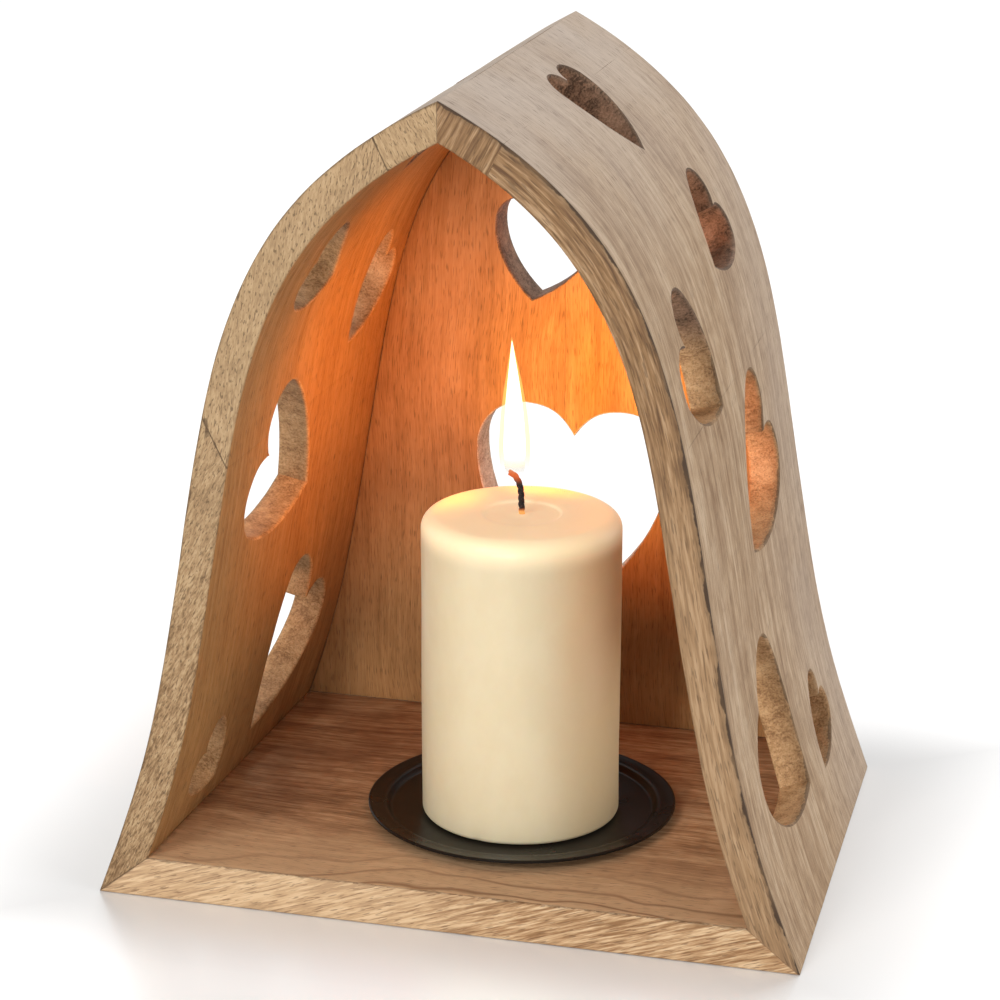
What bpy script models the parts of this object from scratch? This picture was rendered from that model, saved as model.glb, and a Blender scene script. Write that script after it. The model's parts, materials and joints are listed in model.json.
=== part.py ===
"""Heart candle holder: a pointed wooden arch with a base board and a closed back,
heart shaped openings, a loose metal tray and a pillar candle.

Metres, +Z up. The open front faces -Y. The origin is at the middle of the
footprint, on the surface that the holder stands on.
"""
from math import cos, hypot, pi, radians, sin

import bmesh
import bpy
from mathutils import Matrix, Vector

# Arch as a whole
HALF_WIDTH = 0.1225
HEIGHT = 0.2822
DEPTH = 0.182
REAR_TAPER = 0.045
WALL_THICKNESS = 0.0117
BASE_THICKNESS = 0.0145

# Outer curve of the arch, seen from the front, as two smooth stretches
FOOT_ANGLE = radians(68.5)
MIDDLE_ANGLE = radians(79.6)
APEX_ANGLE = radians(26.4)
MIDDLE_HALF_WIDTH = 0.0936
MIDDLE_HEIGHT = 0.1013
FOOT_REACH = 0.49
MIDDLE_REACH_DOWN = 0.335
MIDDLE_REACH_UP = 0.43
APEX_REACH = 0.423
STEPS_BELOW_MIDDLE = 9
STEPS_ABOVE_MIDDLE = 17

# Glue joints
GLUE_GAP = 0.0003
WALL_JOINT_SHARES = (0.5625, 0.9235)
WALL_JOINT_LEAN = radians(64.0)
BACK_SEAM_X = 0.0015

# Back of boards, set in between the walls and in from their rear edges
BACK_INSET = 0.002
BACK_THICKNESS = 0.016

# Heart openings, by their widths
CROWN_HEART = 0.033
HIGH_HEART = 0.036
BROAD_HIGH_HEART = 0.044
MIDDLE_HEART = 0.0565
LOW_HEART = 0.0585
BROAD_LOW_HEART = 0.0655
FOOT_HEART = 0.028
BACK_HEART = 0.0734
BACK_HIGH_HEART = 0.0370
# In a wall: depth from the front edge and distance up the wall, both as a share
# of the wall, then width, height as a multiple of the width, turn in degrees, and
# depth of the notch as a share of the width
RIGHT_HEARTS = (
    (0.546, 0.891, CROWN_HEART, 1.21, 3.0, 0.188),
    (0.679, 0.707, HIGH_HEART, 1.09, -62.0, 0.179),
    (0.263, 0.608, BROAD_HIGH_HEART, 1.14, 48.0, 0.187),
    (0.597, 0.437, MIDDLE_HEART, 1.15, -56.0, 0.215),
    (0.378, 0.170, BROAD_LOW_HEART, 1.01, 46.0, 0.050),
    (0.735, 0.117, FOOT_HEART, 1.22, -47.0, 0.199),
)
LEFT_HEARTS = (
    (0.454, 0.891, CROWN_HEART, 1.21, -3.0, 0.188),
    (0.292, 0.707, HIGH_HEART, 1.07, 67.0, 0.097),
    (0.720, 0.610, HIGH_HEART, 1.2, -40.0, 0.182),
    (0.357, 0.454, MIDDLE_HEART, 1.15, 63.0, 0.181),
    (0.583, 0.190, LOW_HEART, 1.07, -36.0, 0.201),
    (0.240, 0.124, FOOT_HEART, 1.1, 50.0, 0.178),
)
# In the back: side step and height, both as a share of the arch, then as above
BACK_HEARTS = (
    (0.034, 0.346, BACK_HEART, 1.1, -2.0, 0.149),
    (-0.066, 0.695, BACK_HIGH_HEART, 0.99, -10.0, 0.187),
)
# Shape of every heart, as shares of its width; the side run is a share of its height
HEART_NOTCH_FLARE = 0.066
HEART_LOBE_RISE = 0.12
HEART_LOBE_TOP = 0.26
HEART_LOBE_FALL = 0.40
HEART_SHOULDER = 0.24
HEART_BELLY = 0.34
HEART_SIDE_RUN = 0.30
HEART_STEPS = 4
CUTTER_MARGIN = 0.008

# Tray
TRAY_RADIUS = 0.0546
TRAY_RIM_WIDTH = 0.0052
TRAY_STEP_RADIUS = 0.0472
TRAY_STEP_WIDTH = 0.0014
TRAY_SHEET = 0.0010
TRAY_STEP_HEIGHT = 0.0022
TRAY_LIP_HEIGHT = 0.0036
TRAY_X = 0.0086
TRAY_Y = -0.0145
TRAY_SEGMENTS = 72

# Candle
CANDLE_RADIUS = 0.035
CANDLE_HEIGHT = 0.110
CANDLE_TOWARDS_FRONT = 0.0024
CANDLE_SHOULDER = 0.0048
CANDLE_SHOULDER_STEPS = 5
POOL_RADIUS = 0.0138
POOL_FLOOR_RADIUS = 0.0118
POOL_DEPTH = 0.0010
POOL_BRIM_DROP = 0.0003
CANDLE_SEGMENTS = 56
WICK_RADIUS = 0.0012
WICK_RISE = 0.0150
WICK_BEND = 0.0046
# Bend and rise at points up the free end of the wick, as shares of the full ones
WICK_ROUTE = ((0.0, 0.45), (0.12, 0.65), (0.45, 0.84), (1.0, 1.0))

# Steel pins under the base
PIN_RADIUS = 0.0009
PIN_HEAD_RADIUS = 0.0017
PIN_HEAD_HEIGHT = 0.0008
PIN_LENGTH = 0.024
PIN_SINK = 0.0008
PIN_EDGE = 0.034
BACK_PIN_X = 0.046
PIN_SEGMENTS = 12

# Running room between pieces that rest on or fit in one another
REST_GAP = 0.0003

# Turned surfaces that meet at less than this angle are smooth
SMOOTH_BELOW = radians(35.0)
WELD_DISTANCE = 1e-6

FRONT = -DEPTH / 2
BACK_REAR = -FRONT - BACK_INSET
BACK_FRONT = BACK_REAR - BACK_THICKNESS
CANDLE_Y = TRAY_Y - CANDLE_TOWARDS_FRONT


def clear_scene():
    """Empties the scene."""
    for old in list(bpy.data.objects):
        bpy.data.objects.remove(old, do_unlink=True)


def make_material(name, colour, roughness, metallic=0.0):
    """A plain finish."""
    material = bpy.data.materials.new(name)
    material.use_nodes = True
    shader = material.node_tree.nodes["Principled BSDF"]
    shader.inputs["Base Color"].default_value = (*colour, 1.0)
    shader.inputs["Roughness"].default_value = roughness
    shader.inputs["Metallic"].default_value = metallic
    return material


def add_object(name, mesh, material, parent=None):
    """Puts a mesh in the scene as a named piece."""
    piece = bpy.data.objects.new(name, mesh)
    bpy.context.scene.collection.objects.link(piece)
    mesh.materials.append(material)
    piece.parent = parent
    return piece


def add_anchor(name, place):
    """An empty that carries the pieces of one moving group."""
    anchor = bpy.data.objects.new(name, None)
    anchor.location = place
    bpy.context.scene.collection.objects.link(anchor)
    return anchor


def mesh_from(name, shape):
    """Turns an edit mesh into a mesh with its faces pointing out."""
    bmesh.ops.recalc_face_normals(shape, faces=shape.faces)
    mesh = bpy.data.meshes.new(name)
    shape.to_mesh(mesh)
    shape.free()
    return mesh


# Curves of the arch


def bezier(points, steps):
    """Points along a cubic curve, both ends included."""
    a, b, c, d = points
    curve = []
    for step in range(steps + 1):
        t = step / steps
        s = 1 - t
        curve.append(s**3 * a + 3 * s * s * t * b + 3 * s * t * t * c + t**3 * d)
    return curve


def leaning(angle):
    """Direction in the front view that leans towards the middle of the arch."""
    return Vector((-cos(angle), sin(angle)))


def outer_curve():
    """Outer line of the right wall in the front view, from its foot to the apex."""
    foot = Vector((HALF_WIDTH, 0.0))
    middle = Vector((MIDDLE_HALF_WIDTH, MIDDLE_HEIGHT))
    apex = Vector((0.0, HEIGHT))
    lower = (middle - foot).length
    upper = (apex - middle).length
    first = bezier(
        (
            foot,
            foot + leaning(FOOT_ANGLE) * lower * FOOT_REACH,
            middle - leaning(MIDDLE_ANGLE) * lower * MIDDLE_REACH_DOWN,
            middle,
        ),
        STEPS_BELOW_MIDDLE,
    )
    second = bezier(
        (
            middle,
            middle + leaning(MIDDLE_ANGLE) * upper * MIDDLE_REACH_UP,
            apex - leaning(APEX_ANGLE) * upper * APEX_REACH,
            apex,
        ),
        STEPS_ABOVE_MIDDLE,
    )
    return first + second[1:]


def tangents(curve):
    """Unit direction of a curve at each of its points, the end angles exact."""
    directions = [leaning(FOOT_ANGLE)]
    for before, after in zip(curve, curve[2:]):
        directions.append((after - before).normalized())
    directions.append(leaning(APEX_ANGLE))
    return directions


def inset_curve(curve, distance):
    """The curve moved towards the inside of the arch."""
    return [
        point + Vector((-way.y, way.x)) * distance
        for point, way in zip(curve, tangents(curve))
    ]


def clip(outline, point, keep):
    """The part of an outline on the side of a line that the vector keep points to."""
    kept = []
    for start, end in zip(outline, outline[1:] + outline[:1]):
        start_side = (start - point).dot(keep)
        end_side = (end - point).dot(keep)
        if start_side >= 0:
            kept.append(start)
        if (start_side >= 0) != (end_side >= 0):
            kept.append(start.lerp(end, start_side / (start_side - end_side)))
    return kept


def inner_corner():
    """Where the inside of the right wall meets the top of the base board."""
    inner = inset_curve(outer_curve(), WALL_THICKNESS)
    for low, high in zip(inner, inner[1:]):
        if high.y >= BASE_THICKNESS:
            share = (BASE_THICKNESS - low.y) / (high.y - low.y)
            return low.lerp(high, share)
    return inner[-1]


def mitre_line():
    """A point on the mitre at the right foot, and the direction up into the wall."""
    foot = Vector((HALF_WIDTH, 0.0))
    along = (inner_corner() - foot).normalized()
    return foot, Vector((along.y, -along.x))


def point_up_wall(curve, distance):
    """Point and direction of the outer curve at a distance up from the foot."""
    travelled = 0.0
    for low, high in zip(curve, curve[1:]):
        step = (high - low).length
        if travelled + step >= distance:
            return low.lerp(high, (distance - travelled) / step), (high - low).normalized()
        travelled += step
    return curve[-1], (curve[-1] - curve[-2]).normalized()


def curve_length(curve):
    """Length of the outer curve."""
    return sum((high - low).length for low, high in zip(curve, curve[1:]))


# Solids that run from the front to the rear


def width_share(y):
    """How much narrower the arch is at a depth than at its front edge."""
    return 1.0 - REAR_TAPER * (y - FRONT) / DEPTH


def loft(name, outline, front, rear):
    """Runs a front view outline back along Y, narrowing as the arch does."""
    shape = bmesh.new()
    rings = []
    for y in (front, rear):
        share = width_share(y)
        rings.append([shape.verts.new((p.x * share, y, p.y)) for p in outline])
    shape.faces.new(rings[0])
    shape.faces.new(list(reversed(rings[1])))
    count = len(outline)
    for i in range(count):
        j = (i + 1) % count
        shape.faces.new((rings[0][i], rings[1][i], rings[1][j], rings[0][j]))
    bmesh.ops.triangulate(shape, faces=shape.faces)
    return mesh_from(name, shape)


def mirrored(outline):
    """The same outline for the left side."""
    return [Vector((-p.x, p.y)) for p in reversed(outline)]


def wall_sections():
    """Front view outlines of the right wall's three glued blocks, foot first."""
    outer = outer_curve()
    strip = outer + list(reversed(inset_curve(outer, WALL_THICKNESS)))
    half_gap = GLUE_GAP / 2
    foot, up = mitre_line()
    strip = clip(strip, foot + up * half_gap, up)
    strip = clip(strip, Vector((half_gap, 0.0)), Vector((1.0, 0.0)))
    across = Vector((-cos(WALL_JOINT_LEAN), -sin(WALL_JOINT_LEAN)))
    above = Vector((across.y, -across.x))
    sections = []
    for share in WALL_JOINT_SHARES:
        seat, _ = point_up_wall(outer, share * curve_length(outer))
        sections.append(clip(strip, seat + above * -half_gap, -above))
        strip = clip(strip, seat + above * half_gap, above)
    sections.append(strip)
    return sections


def base_section():
    """Front view outline of the base board with its mitred ends."""
    board = [
        Vector((-HALF_WIDTH, 0.0)),
        Vector((HALF_WIDTH, 0.0)),
        Vector((HALF_WIDTH, BASE_THICKNESS)),
        Vector((-HALF_WIDTH, BASE_THICKNESS)),
    ]
    foot, up = mitre_line()
    half_gap = GLUE_GAP / 2
    board = clip(board, foot - up * half_gap, -up)
    left_up = Vector((-up.x, up.y))
    return clip(board, Vector((-foot.x, 0.0)) - left_up * half_gap, -left_up)


def back_sections():
    """Front view outlines of the two back boards, left first."""
    inner = inset_curve(outer_curve(), WALL_THICKNESS + GLUE_GAP)
    right = [p for p in inner if p.x > 0]
    crossing = next(i for i, p in enumerate(inner) if p.x <= 0)
    low = inner[crossing - 1]
    high = inner[crossing]
    peak = low.lerp(high, low.x / (low.x - high.x))
    region = right + [peak] + mirrored(right)
    region = clip(region, Vector((0.0, BASE_THICKNESS + GLUE_GAP)), Vector((0.0, 1.0)))
    half_gap = GLUE_GAP / 2
    left_board = clip(region, Vector((BACK_SEAM_X - half_gap, 0.0)), Vector((-1.0, 0.0)))
    right_board = clip(region, Vector((BACK_SEAM_X + half_gap, 0.0)), Vector((1.0, 0.0)))
    return left_board, right_board


# Hearts


def heart_outline(width, height, turn, notch_share):
    """Heart with its middle at the origin, turned anticlockwise."""
    top = height / 2
    shoulder = top - HEART_SHOULDER * width
    notch = top - notch_share * width
    crest = Vector((HEART_LOBE_TOP * width, top))
    widest = Vector((width / 2, shoulder))
    side_run = HEART_SIDE_RUN * (shoulder + top)
    lobe = bezier(
        (
            Vector((0.0, notch)),
            Vector((HEART_NOTCH_FLARE * width, (notch + 2 * top) / 3)),
            Vector((HEART_LOBE_RISE * width, top)),
            crest,
        ),
        HEART_STEPS,
    )
    side = bezier(
        (
            crest,
            Vector((HEART_LOBE_FALL * width, top)),
            Vector((width / 2, (shoulder + top) / 2)),
            widest,
        ),
        HEART_STEPS,
    )
    belly = bezier(
        (
            widest,
            widest - Vector((0.0, side_run)),
            Vector((HEART_BELLY * width, side_run - top)),
            Vector((0.0, -top)),
        ),
        HEART_STEPS + 1,
    )
    half = lobe + side[1:] + belly[1:]
    whole = half + mirrored(half)[1:-1]
    spin = Matrix.Rotation(radians(turn), 2)
    return [spin @ p for p in whole]


def add_cutter(name, outline, origin, across, up, reach):
    """A prism for cutting, through an outline laid out along across and up."""
    shape = bmesh.new()
    through = across.cross(up).normalized()
    rings = []
    for offset in reach:
        rings.append(
            [
                shape.verts.new(origin + across * p.x + up * p.y + through * offset)
                for p in outline
            ]
        )
    shape.faces.new(rings[0])
    shape.faces.new(list(reversed(rings[1])))
    count = len(outline)
    for i in range(count):
        j = (i + 1) % count
        shape.faces.new((rings[0][i], rings[1][i], rings[1][j], rings[0][j]))
    bmesh.ops.triangulate(shape, faces=shape.faces)
    cutter = bpy.data.objects.new(name, mesh_from(name, shape))
    bpy.context.scene.collection.objects.link(cutter)
    cutter.hide_render = True
    cutter.display_type = "WIRE"
    return cutter


def cut(piece, cutter):
    """Takes a cutter's shape out of a piece."""
    step = piece.modifiers.new(cutter.name, "BOOLEAN")
    step.operation = "DIFFERENCE"
    step.solver = "EXACT"
    step.object = cutter


def cut_wall_hearts(blocks, hearts, side):
    """Cuts each heart square through the wall, in the blocks that it crosses."""
    curve = outer_curve()
    length = curve_length(curve)
    limits = [share * length for share in (0.0, *WALL_JOINT_SHARES, 1.0)]
    joint_run = WALL_THICKNESS / cos(WALL_JOINT_LEAN)
    for number, heart in enumerate(hearts, 1):
        depth_share, wall_share, width, tallness, turn, notch_share = heart
        height = width * tallness
        distance = wall_share * length
        seat, way = point_up_wall(curve, distance)
        y = FRONT + depth_share * DEPTH
        origin = Vector((side * seat.x * width_share(y), y, seat.y))
        up = Vector((side * way.x, 0.0, way.y))
        across = Vector((0.0, 1.0, 0.0))
        name = f"{'right' if side > 0 else 'left'}_heart_{number}"
        outline = heart_outline(width, height, turn, notch_share)
        into_wall = (-WALL_THICKNESS - CUTTER_MARGIN, CUTTER_MARGIN)
        reach = into_wall if side > 0 else (-into_wall[1], -into_wall[0])
        cutter = add_cutter(name, outline, origin, across, up, reach)
        radius = hypot(width, height) / 2
        for block, low, high in zip(blocks, limits, limits[1:]):
            if distance + radius > low - joint_run and distance - radius < high:
                cut(block, cutter)


def cut_back_hearts(boards):
    """Cuts the hearts of the back straight through, from front to rear."""
    for number, heart in enumerate(BACK_HEARTS, 1):
        side_share, high_share, width, tallness, turn, notch_share = heart
        origin = Vector((side_share * HALF_WIDTH, BACK_FRONT, high_share * HEIGHT))
        cutter = add_cutter(
            f"back_heart_{number}",
            heart_outline(width, width * tallness, turn, notch_share),
            origin,
            Vector((1.0, 0.0, 0.0)),
            Vector((0.0, 0.0, 1.0)),
            (-BACK_THICKNESS - CUTTER_MARGIN, CUTTER_MARGIN),
        )
        for board in boards:
            cut(board, cutter)


# Turned pieces


def lathe(name, profile, segments):
    """Turns a closed profile of radius and height round Z."""
    shape = bmesh.new()
    corners = [shape.verts.new((radius, 0.0, z)) for radius, z in profile]
    edges = [shape.edges.new(pair) for pair in zip(corners, corners[1:] + corners[:1])]
    on_axis = [e for e in edges if all(v.co.x < WELD_DISTANCE for v in e.verts)]
    bmesh.ops.delete(shape, geom=on_axis, context="EDGES_FACES")
    bmesh.ops.spin(
        shape,
        geom=shape.verts[:] + shape.edges[:],
        cent=(0.0, 0.0, 0.0),
        axis=(0.0, 0.0, 1.0),
        angle=2 * pi,
        steps=segments,
        use_merge=True,
    )
    bmesh.ops.remove_doubles(shape, verts=shape.verts, dist=WELD_DISTANCE)
    mesh = mesh_from(name, shape)
    mesh.shade_smooth()
    mesh.set_sharp_from_angle(angle=SMOOTH_BELOW)
    return mesh


def tray_profile():
    """Thin pressed dish: flat middle, a step up to a flat rim, and a raised lip."""
    floor = TRAY_SHEET
    rim = TRAY_STEP_HEIGHT + TRAY_SHEET
    step_out = TRAY_STEP_RADIUS + TRAY_STEP_WIDTH
    lip_in = TRAY_RADIUS - TRAY_SHEET
    lip_low = TRAY_LIP_HEIGHT - TRAY_SHEET
    return [
        (0.0, 0.0),
        (TRAY_STEP_RADIUS, 0.0),
        (step_out, TRAY_STEP_HEIGHT),
        (TRAY_RADIUS - 2 * TRAY_SHEET, TRAY_STEP_HEIGHT),
        (TRAY_RADIUS, lip_low),
        (TRAY_RADIUS, TRAY_LIP_HEIGHT),
        (lip_in, TRAY_LIP_HEIGHT),
        (TRAY_STEP_RADIUS + TRAY_RIM_WIDTH, rim),
        (step_out - TRAY_SHEET / 2, rim),
        (TRAY_STEP_RADIUS - TRAY_SHEET / 2, floor),
        (0.0, floor),
    ]


def wax_profile():
    """Pillar with a round shoulder, a shallow melt pool and the wick's hole."""
    bore = WICK_RADIUS + REST_GAP
    top = CANDLE_HEIGHT
    profile = [(bore, 0.0), (CANDLE_RADIUS, 0.0)]
    centre = CANDLE_RADIUS - CANDLE_SHOULDER
    for step in range(CANDLE_SHOULDER_STEPS + 1):
        angle = step / CANDLE_SHOULDER_STEPS * pi / 2
        profile.append(
            (centre + CANDLE_SHOULDER * cos(angle), top + CANDLE_SHOULDER * (sin(angle) - 1))
        )
    profile.append((POOL_RADIUS, top - POOL_BRIM_DROP))
    profile.append((POOL_FLOOR_RADIUS, top - POOL_DEPTH))
    profile.append((bore, top - POOL_DEPTH))
    return profile


def pin_profile():
    """Plain steel pin, head down."""
    return [
        (0.0, 0.0),
        (PIN_HEAD_RADIUS, 0.0),
        (PIN_HEAD_RADIUS, PIN_HEAD_HEIGHT),
        (PIN_RADIUS, PIN_HEAD_HEIGHT),
        (PIN_RADIUS, PIN_LENGTH - 2 * PIN_RADIUS),
        (0.0, PIN_LENGTH),
    ]


def pin_hole_profile():
    """Hole that holds one pin with its head sunk below the board."""
    shank = PIN_RADIUS + REST_GAP
    head = PIN_HEAD_RADIUS + REST_GAP
    head_top = PIN_HEAD_HEIGHT + REST_GAP
    return [
        (0.0, -CUTTER_MARGIN),
        (head, -CUTTER_MARGIN),
        (head, head_top),
        (shank, head_top),
        (shank, PIN_LENGTH + REST_GAP),
        (0.0, PIN_LENGTH + REST_GAP),
    ]


def foot_pin_places():
    """Head and direction of each pin that runs from the base up into a wall's foot."""
    way = leaning(FOOT_ANGLE)
    inward = Vector((-way.y, way.x))
    seat = Vector((HALF_WIDTH, 0.0)) + inward * (WALL_THICKNESS / 2)
    start = seat - way * ((seat.y - PIN_SINK) / way.y)
    places = []
    for side in (-1, 1):
        for y in (FRONT + PIN_EDGE, -FRONT - PIN_EDGE):
            head = Vector((side * start.x * width_share(y), y, start.y))
            places.append((head, Vector((side * way.x, 0.0, way.y))))
    return places


def back_pin_places():
    """Head and direction of each pin that runs from the base up into a back board."""
    y = (BACK_FRONT + BACK_REAR) / 2
    return [
        (Vector((x, y, PIN_SINK)), Vector((0.0, 0.0, 1.0)))
        for x in (-BACK_PIN_X, BACK_PIN_X)
    ]


def stand(head, way):
    """Where a pin stands: its head's place and the turn from Z to its direction."""
    turn = Vector((0.0, 0.0, 1.0)).rotation_difference(way).to_matrix().to_4x4()
    return Matrix.Translation(head) @ turn


# Sub-assemblies


def build_arch(wood, steel):
    """Walls, base board, back boards and the pins that hold them."""
    names = ("foot_block", "shoulder_block", "crown_block")
    sections = wall_sections()
    walls = {}
    for side, label in ((1, "right_wall"), (-1, "left_wall")):
        walls[side] = []
        for name, section in zip(names, sections):
            outline = section if side > 0 else mirrored(section)
            mesh = loft(f"{label}_{name}", outline, FRONT, -FRONT)
            walls[side].append(add_object(f"{label}_{name}", mesh, wood))
    cut_wall_hearts(walls[1], RIGHT_HEARTS, 1)
    cut_wall_hearts(walls[-1], LEFT_HEARTS, -1)

    base = add_object("base_board", loft("base_board", base_section(), FRONT, -FRONT), wood)
    boards = []
    for name, section in zip(("back_board_left", "back_board_right"), back_sections()):
        boards.append(add_object(name, loft(name, section, BACK_FRONT, BACK_REAR), wood))
    cut_back_hearts(boards)

    pin = lathe("pin", pin_profile(), PIN_SEGMENTS)
    hole = lathe("pin_hole", pin_hole_profile(), PIN_SEGMENTS)
    pin.materials.append(steel)
    left_foot, right_foot = walls[-1][0], walls[1][0]
    pins = list(zip(foot_pin_places(), (left_foot, left_foot, right_foot, right_foot)))
    for number, (place, block) in enumerate(pins, 1):
        add_pin(f"foot_pin_{number}", pin, hole, place, (base, block))
    for number, (place, board) in enumerate(zip(back_pin_places(), boards), 1):
        add_pin(f"back_pin_{number}", pin, hole, place, (base, board))


def add_pin(name, pin, hole, place, held):
    """One steel pin, and its hole through the pieces that it holds together."""
    for label, mesh in ((name, pin), (f"{name}_hole", hole)):
        piece = bpy.data.objects.new(label, mesh)
        piece.matrix_world = stand(*place)
        bpy.context.scene.collection.objects.link(piece)
    piece.hide_render = True
    piece.display_type = "WIRE"
    for wood_piece in held:
        cut(wood_piece, piece)


def build_tray(metal):
    """The loose dish; its anchor slides out of the front with it."""
    anchor = add_anchor("tray_slide", (TRAY_X, TRAY_Y, BASE_THICKNESS + REST_GAP))
    add_object("candle_tray", lathe("candle_tray", tray_profile(), TRAY_SEGMENTS), metal, anchor)


def build_candle(wax, cotton):
    """The pillar of wax with its wick; its anchor lifts off the tray with it."""
    seat = BASE_THICKNESS + REST_GAP + TRAY_SHEET + REST_GAP
    anchor = add_anchor("candle_lift", (TRAY_X, CANDLE_Y, seat))
    add_object("candle_wax", lathe("candle_wax", wax_profile(), CANDLE_SEGMENTS), wax, anchor)
    curve = bpy.data.curves.new("candle_wick", "CURVE")
    curve.dimensions = "3D"
    curve.bevel_depth = WICK_RADIUS
    curve.bevel_resolution = 2
    curve.use_fill_caps = True
    pool = CANDLE_HEIGHT - POOL_DEPTH
    route = [(0.0, 0.0), (0.0, pool)]
    for bend, rise in WICK_ROUTE:
        route.append((-bend * WICK_BEND, pool + rise * WICK_RISE))
    spline = curve.splines.new("POLY")
    spline.points.add(len(route) - 1)
    for point, (x, z) in zip(spline.points, route):
        point.co = (x, 0.0, z, 1.0)
    add_object("candle_wick", curve, cotton, anchor)


def main():
    clear_scene()
    wood = make_material("mango_wood", (0.42, 0.27, 0.15), 0.62)
    steel = make_material("pin_steel", (0.55, 0.55, 0.56), 0.35, 1.0)
    dark_metal = make_material("tray_metal", (0.045, 0.032, 0.026), 0.42, 0.6)
    wax = make_material("ivory_wax", (0.88, 0.76, 0.55), 0.45)
    cotton = make_material("wick_cotton", (0.05, 0.035, 0.03), 0.9)
    build_arch(wood, steel)
    build_tray(dark_metal)
    build_candle(wax, cotton)


main()
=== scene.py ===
"""Heart candle holder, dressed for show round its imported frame.

The arch's walls, base board and back are rebuilt with sanded arrises, smooth heart
openings and the grain of the wood. The dish, the candle, its wick and its flame are
turned or twisted to shape. Metres, +Z up; the open front faces -Y.
"""

import json
import logging
import math
from dataclasses import dataclass
from enum import Enum
from typing import Callable, Optional, Sequence

import bmesh
import bpy
import numpy as np
from mathutils import Matrix, Vector, noise
from mathutils.geometry import delaunay_2d_cdt

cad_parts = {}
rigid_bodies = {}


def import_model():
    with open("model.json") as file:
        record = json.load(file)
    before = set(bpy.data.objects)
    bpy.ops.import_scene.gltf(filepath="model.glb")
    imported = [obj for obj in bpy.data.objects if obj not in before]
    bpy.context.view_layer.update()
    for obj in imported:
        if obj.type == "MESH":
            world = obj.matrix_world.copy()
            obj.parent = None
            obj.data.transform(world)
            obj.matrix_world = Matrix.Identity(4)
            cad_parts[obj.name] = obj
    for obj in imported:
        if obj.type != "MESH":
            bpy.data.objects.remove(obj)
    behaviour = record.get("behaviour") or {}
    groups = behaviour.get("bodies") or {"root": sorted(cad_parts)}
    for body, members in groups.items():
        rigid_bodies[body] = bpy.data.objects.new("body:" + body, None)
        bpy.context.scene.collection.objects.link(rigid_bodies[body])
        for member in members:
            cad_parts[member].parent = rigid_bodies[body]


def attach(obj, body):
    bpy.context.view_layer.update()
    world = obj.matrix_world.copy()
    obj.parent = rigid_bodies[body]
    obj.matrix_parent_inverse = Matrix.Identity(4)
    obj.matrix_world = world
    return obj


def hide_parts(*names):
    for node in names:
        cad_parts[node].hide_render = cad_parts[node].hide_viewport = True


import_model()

LOG = logging.getLogger("heart_candle_holder")
Loop = np.ndarray
Pair = tuple[float, float]
Triple = tuple[float, float, float]
Colour = Triple
Socket = bpy.types.NodeSocket
Material = bpy.types.Material
Piece = bpy.types.Object
Shape = bmesh.types.BMesh
Point = bmesh.types.BMVert


class Side(Enum):
    """The two walls of the arch, by the sign of X."""

    LEFT = -1
    RIGHT = 1


class Face(Enum):
    """Which face of a board a polygon lies on."""

    OUTER = 0
    INNER = 1
    EDGE = 2
    CUT = 3
    JOINT = 4


# Shape of the arch


def cubic(a: np.ndarray, b: np.ndarray, c: np.ndarray, d: np.ndarray,
          steps: int) -> tuple[list[np.ndarray], list[np.ndarray]]:
    """Points and directions along a cubic curve, its start left out."""
    points, ways = [], []
    for t in np.linspace(0.0, 1.0, steps + 1)[1:]:
        s = 1 - t
        points.append(s**3 * a + 3 * s * s * t * b + 3 * s * t * t * c + t**3 * d)
        ways.append(3 * (s * s * (b - a) + 2 * s * t * (c - b) + t * t * (d - c)))
    return points, ways


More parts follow.
